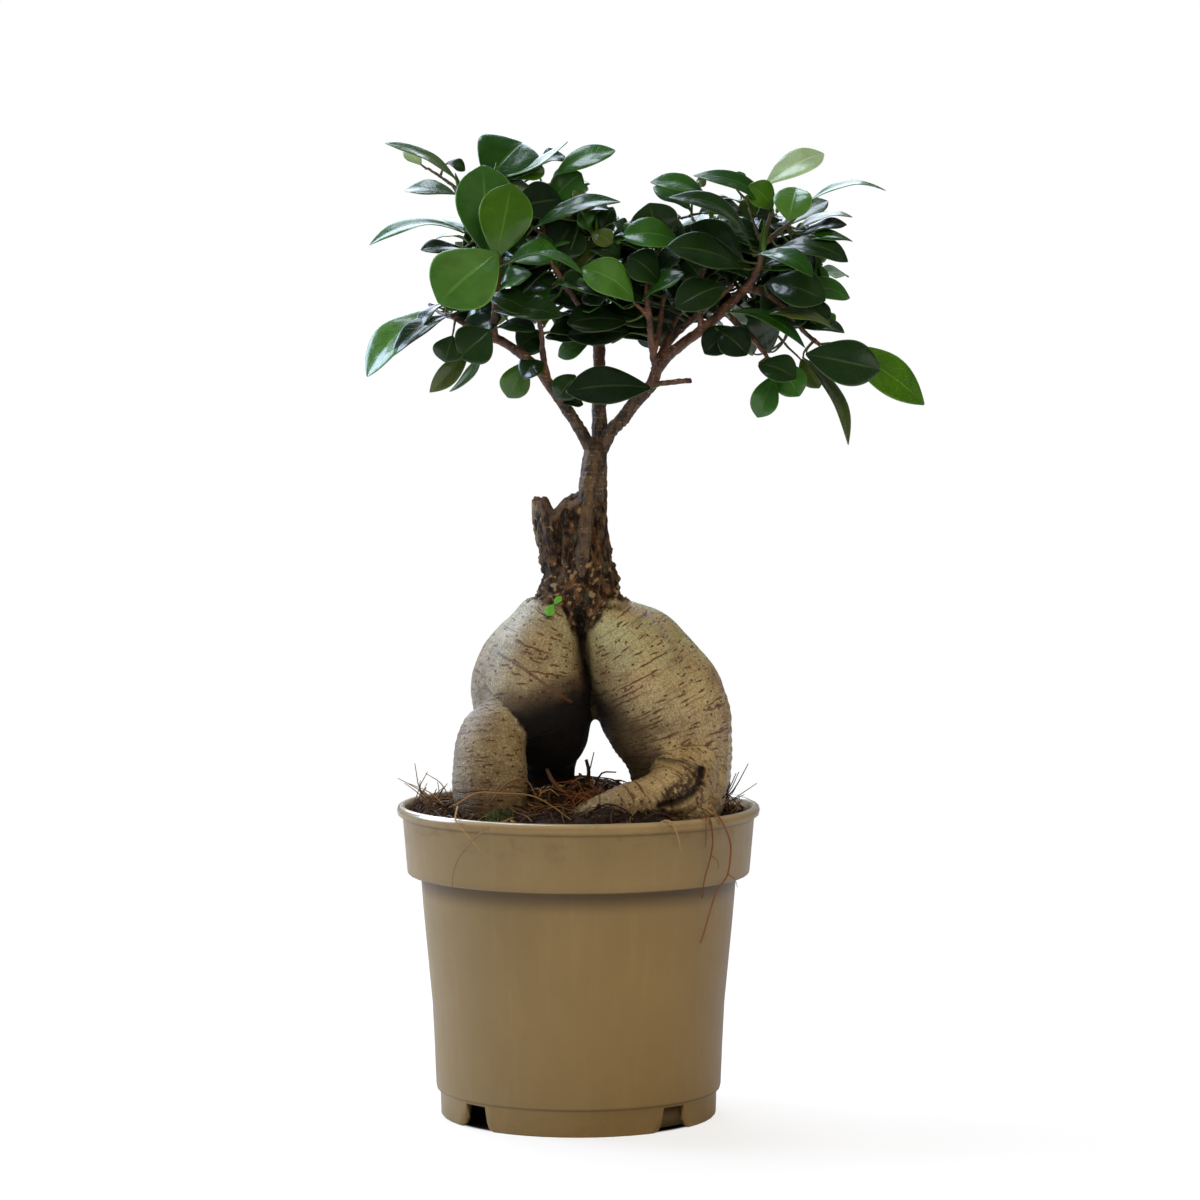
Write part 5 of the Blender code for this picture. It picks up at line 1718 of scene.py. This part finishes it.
def scattered_fibres():
    rng = random.Random(19)
    fibres = []
    for _ in range(LYING_FIBRES):
        radius, angle = 63 * math.sqrt(rng.random()), rng.uniform(0, 2 * math.pi)
        x, y = round_axis(radius, angle)
        run = wandering(rng, x, y, rng.uniform(8, 26), rng.uniform(0, 2.4))
        thick = rng.uniform(0.16, 0.42)
        fibres.append((run, thick, thick * 0.6, rng.random(), 0.0))
    for _ in range(GINGER_FIBRES):
        x, y = rng.gauss(2, 7), rng.gauss(-22, 8)
        run = wandering(rng, x, y, rng.uniform(7, 15), rng.uniform(0.5, 3.0))
        fibres.append((run, 0.26, 0.16, 0.4, rng.uniform(0.2, 0.8)))
    for _ in range(RIM_FIBRES):
        angle = rng.choice((rng.gauss(3.35, 0.22), rng.gauss(-0.15, 0.25)))
        radius = rng.uniform(54, 63)
        x, y = round_axis(radius, angle)
        points = wandering(rng, x, y, rng.uniform(5, 12), 0)
        tall = rng.uniform(2, 9)
        points = [(px, py, pz + tall * (step / 5) ** 1.4) for step, (px, py, pz) in enumerate(points)]
        fibres.append((points, 0.3, 0.14, rng.random() * 0.8, 0.0))
    return fibres


fibre_brown = fibre_finish()
loose = scattered_fibres()
new_piece("fibre_litter", fibre_mesh("fibre_litter", loose), fibre_brown)
print("scattered fibres:", len(loose))

# %% [markdown]
# A few roots can be told apart, and they give this pot its look: a long tan arch in front of the leg, a
# small one behind it, splinters between the bulbs, and thin roots that hang over the rim. Their routes are
# lists of points. After them stand the radius at both ends, how pale the root is and how ginger.

# %% Roots that stand out
ROOTS = (
    (((-46, -52, 125), (-38, -50, 129.5), (-29, -50, 129.5), (-18, -48, 128.5), (-10.5, -48, 125),
      (0, -54, 118)), 0.46, 0.26, 0.8, 0.1),
    (((-33, -44, 125), (-26.4, -46, 133), (-19.2, -46, 134), (-15, -44, 126)), 0.33, 0.26, 0.6, 0.35),
    (((-45, -46, 124), (-45.5, -54, 119.8), (-42, -57.6, 116), (-36, -60.6, 109)), 0.4, 0.26, 0.95, 0.0),
    (((-24, -56, 121), (-30, -60, 119), (-36, -62, 116), (-43.5, -54, 107), (-46.5, -51, 100),
      (-47, -50.5, 94)), 0.3, 0.2, 0.8, 0.21),
    (((48, -40, 119), (52, -47, 120.8), (55.5, -44.5, 115), (57.4, -41, 109), (57.2, -40.5, 103),
      (56, -41, 97), (52.5, -40.5, 92), (50, -41.5, 85), (47.5, -41.5, 76), (46, -41.5, 72)),
     0.42, 0.3, 0.55, 0.75),
    (((44, -46, 119), (49, -50.5, 120.6), (50.5, -49.4, 112), (49.6, -48.6, 105), (47.4, -49.4, 97),
      (46.6, -49.2, 90)), 0.42, 0.24, 0.45, 0.35),
    (((45, -48, 119), (47.6, -52.4, 120.6), (47.9, -50.8, 113), (47.6, -50, 109)), 0.26, 0.17, 0.5, 0.49),
    (((28, -56, 118), (34, -61.8, 120.6), (37.2, -60.4, 114.5), (38.2, -58.6, 109)), 0.42, 0.24, 0.95, 0.1),
    (((-2, -10, 124), (3.7, -11, 132.5), (6, -11, 141)), 0.4, 0.2, 0.0, 0.0),
    (((3.5, -4, 126), (4, -5, 133), (3.0, -5, 137.5)), 0.86, 0.66, 0.15, 0.0),
    (((6, -3, 126), (9, -3, 132), (14.5, -4, 132.5)), 0.46, 0.26, 0.1, 0.0),
    (((-3, -18, 124), (-9, -14, 129), (-12, -8, 134)), 0.99, 0.73, 0.35, 0.07),
    (((50, -20, 120), (56, -24, 126), (60, -22, 134)), 0.3, 0.17, 0.0, 0.0),
    (((54, -12, 120), (56, -16, 125), (58, -17, 130)), 0.33, 0.17, 0.05, 0.0),
    (((-56, -24, 120), (-60, -24, 126), (-66, -20, 130)), 0.33, 0.13, 0.5, 0.07),
    (((-54, -30, 121), (-60, -28, 128), (-57, -26, 135)), 0.33, 0.13, 0.35, 0.07),
    (((-30, -58, 118), (-20, -60, 119), (-12, -62, 117.5)), 0.26, 0.17, 0.9, 0.0),
    (((4, -60, 118), (18, -61, 119.5), (28, -61, 118)), 0.23, 0.13, 0.7, 0.07),
    (((52, -20, 121), (59, -18, 127), (64.8, -16, 137)), 0.38, 0.16, 0.0, 0.0),
    (((50, -14, 121), (57, -13, 125), (61.4, -12, 133.5)), 0.36, 0.15, 0.0, 0.0),
    (((53, -26, 121), (60, -23, 125), (68, -20, 130)), 0.28, 0.13, 0.3, 0.0),
    (((-52, -14, 121), (-60, -14, 126), (-62.4, -14, 137)), 0.34, 0.14, 0.6, 0.07),
    (((-53, -10, 121), (-62, -10, 127), (-69, -12, 131)), 0.3, 0.13, 0.8, 0.07),
    (((-50, -24, 121), (-56, -26, 127), (-64, -26, 130.5)), 0.32, 0.14, 0.9, 0.07),
    (((-48, -20, 122), (-52, -22, 130), (-58, -22, 134)), 0.28, 0.13, 0.8, 0.1),
    (((56.4, -41.2, 98), (59, -41.4, 96), (60, -41, 93)), 0.2, 0.12, 0.6, 0.4),
    (((49.8, -48.8, 106), (52.2, -48.6, 104), (52.8, -48.2, 101)), 0.2, 0.12, 0.6, 0.4),
)
new_piece("loose_roots", fibre_mesh("loose_roots", ROOTS), fibre_brown)
print("roots that stand out:", len(ROOTS))

# %% [markdown]
# Last come three small things. A tuft of moss grows in front of the leg: short strands that lean all ways.

# %% Moss
MOSS_STRANDS = 150
MOSS_PLACE = (-30, -47)


def moss_tuft():
    rng = random.Random(5)
    bm = bmesh.new()
    tone, ginger = fibre_layers(bm)
    for _ in range(MOSS_STRANDS):
        x, y = rng.gauss(MOSS_PLACE[0], 2.6), rng.gauss(MOSS_PLACE[1], 2.2)
        foot = soil_top(x, y)
        lean = (rng.uniform(-1.4, 1.4), rng.uniform(-1.4, 1.4))
        tall = rng.uniform(1.2, 3.2)
        run = [(x, y, foot - 0.5), (x + lean[0] * 0.4, y + lean[1] * 0.4, foot + tall * 0.6),
               (x + lean[0], y + lean[1], foot + tall)]
        add_tube(bm, run, [0.28, 0.24, 0.05], 4, [(tone, rng.random()), (ginger, 0.0)])
    return mesh_from("moss", bm)


def moss_finish():
    finish = Finish("moss", 0.85)
    tone = finish.stored("tone")
    return finish.finished(finish.mix(tone, colour(34, 42, 18), colour(70, 86, 36)), None)


new_piece("moss_tuft", moss_tuft(), moss_finish())
print("strands of moss:", MOSS_STRANDS)

# %% [markdown]
# Pale chips of wood lie in the peat, two of them beside the leg. Each is a flat box with its corners moved.

# %% Wood chips
CHIPS_BY_LEG = [(-27, -52, 3.0), (-24, -50, 2.2)]  # x, y and size
SCATTERED_CHIPS = 26
CHIP_SHAPE = Matrix.Diagonal((1.0, 0.55, 0.4, 1))
CHIP_TONE = 0.98


def chips_mesh():
    rng = random.Random(3)
    bm = bmesh.new()
    tone, _ = fibre_layers(bm)
    spots = list(CHIPS_BY_LEG)
    for _ in range(SCATTERED_CHIPS):
        spots.append((rng.uniform(-55, 55), rng.uniform(-60, 50), rng.uniform(1, 2)))
    for x, y, size in spots:
        if math.hypot(x, y) > SOIL_RADIUS - 3:
            continue
        spot = at(x, y, soil_top(x, y) + size * 0.35)
        turn = Matrix.Rotation(rng.uniform(0, FULL_TURN), 4, (rng.random(), rng.random(), rng.random() + 0.1))
        made = bmesh.ops.create_cube(bm, size=size * MM, matrix=Matrix.Translation(spot) @ turn @ CHIP_SHAPE)
        for vert in made["verts"]:
            vert.co += (vert.co - spot) * rng.uniform(-0.25, 0.25)
            vert[tone] = CHIP_TONE
    return mesh_from("wood_chips", bm)


new_piece("wood_chips", chips_mesh(), fibre_brown)
print("chips at most:", len(CHIPS_BY_LEG) + SCATTERED_CHIPS)

# %% [markdown]
# A two-leaved sprout has come up from the bark above the left bulb. Its blades are made as leaves are.

# %% The sprout
SPROUT_FOOT = (-9.5, -16.5, 196)
SPROUT_STEM = (SPROUT_FOOT, (-9.0, -18.5, 197), (-8.6, -19.5, 199))
SPROUT_FORK = (-9.2, -19.6, 198.2)
SPROUT_BLADES = (((-12.0, -20.6, 194.0), 3.6), ((-6.4, -20.0, 201.2), 2.4))  # tip and width


def sprout_mesh():
    rng = random.Random(2)
    bm = bmesh.new()
    layers = leaf_layers(bm)
    stem = curve_through(SPROUT_STEM, 3)
    stem_green = [(layers["stalk"], 0.4), (layers["tint"], tint_of("bright"))]
    add_tube(bm, stem, [0.35] * len(stem), 6, stem_green)
    fork, facing = Vector(SPROUT_FORK), Vector((0, -0.95, 0.3))
    for tip, width in SPROUT_BLADES:
        add_blade(bm, layers, fork, Vector(tip), width, facing, 0.3, tint_of("sprout"), rng)
    return mesh_from("sprout", bm)


smooth_leaf(new_piece("sprout", sprout_mesh(), leaf_green))
print("sprout at", SPROUT_FOOT)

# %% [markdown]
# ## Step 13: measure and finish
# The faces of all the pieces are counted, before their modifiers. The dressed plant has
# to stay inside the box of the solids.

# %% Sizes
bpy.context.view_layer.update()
pieces = [obj for obj in bpy.data.objects if obj.type == "MESH" and obj.visible_get()]
print("faces of all meshes before the modifiers:", sum(len(obj.data.polygons) for obj in pieces))
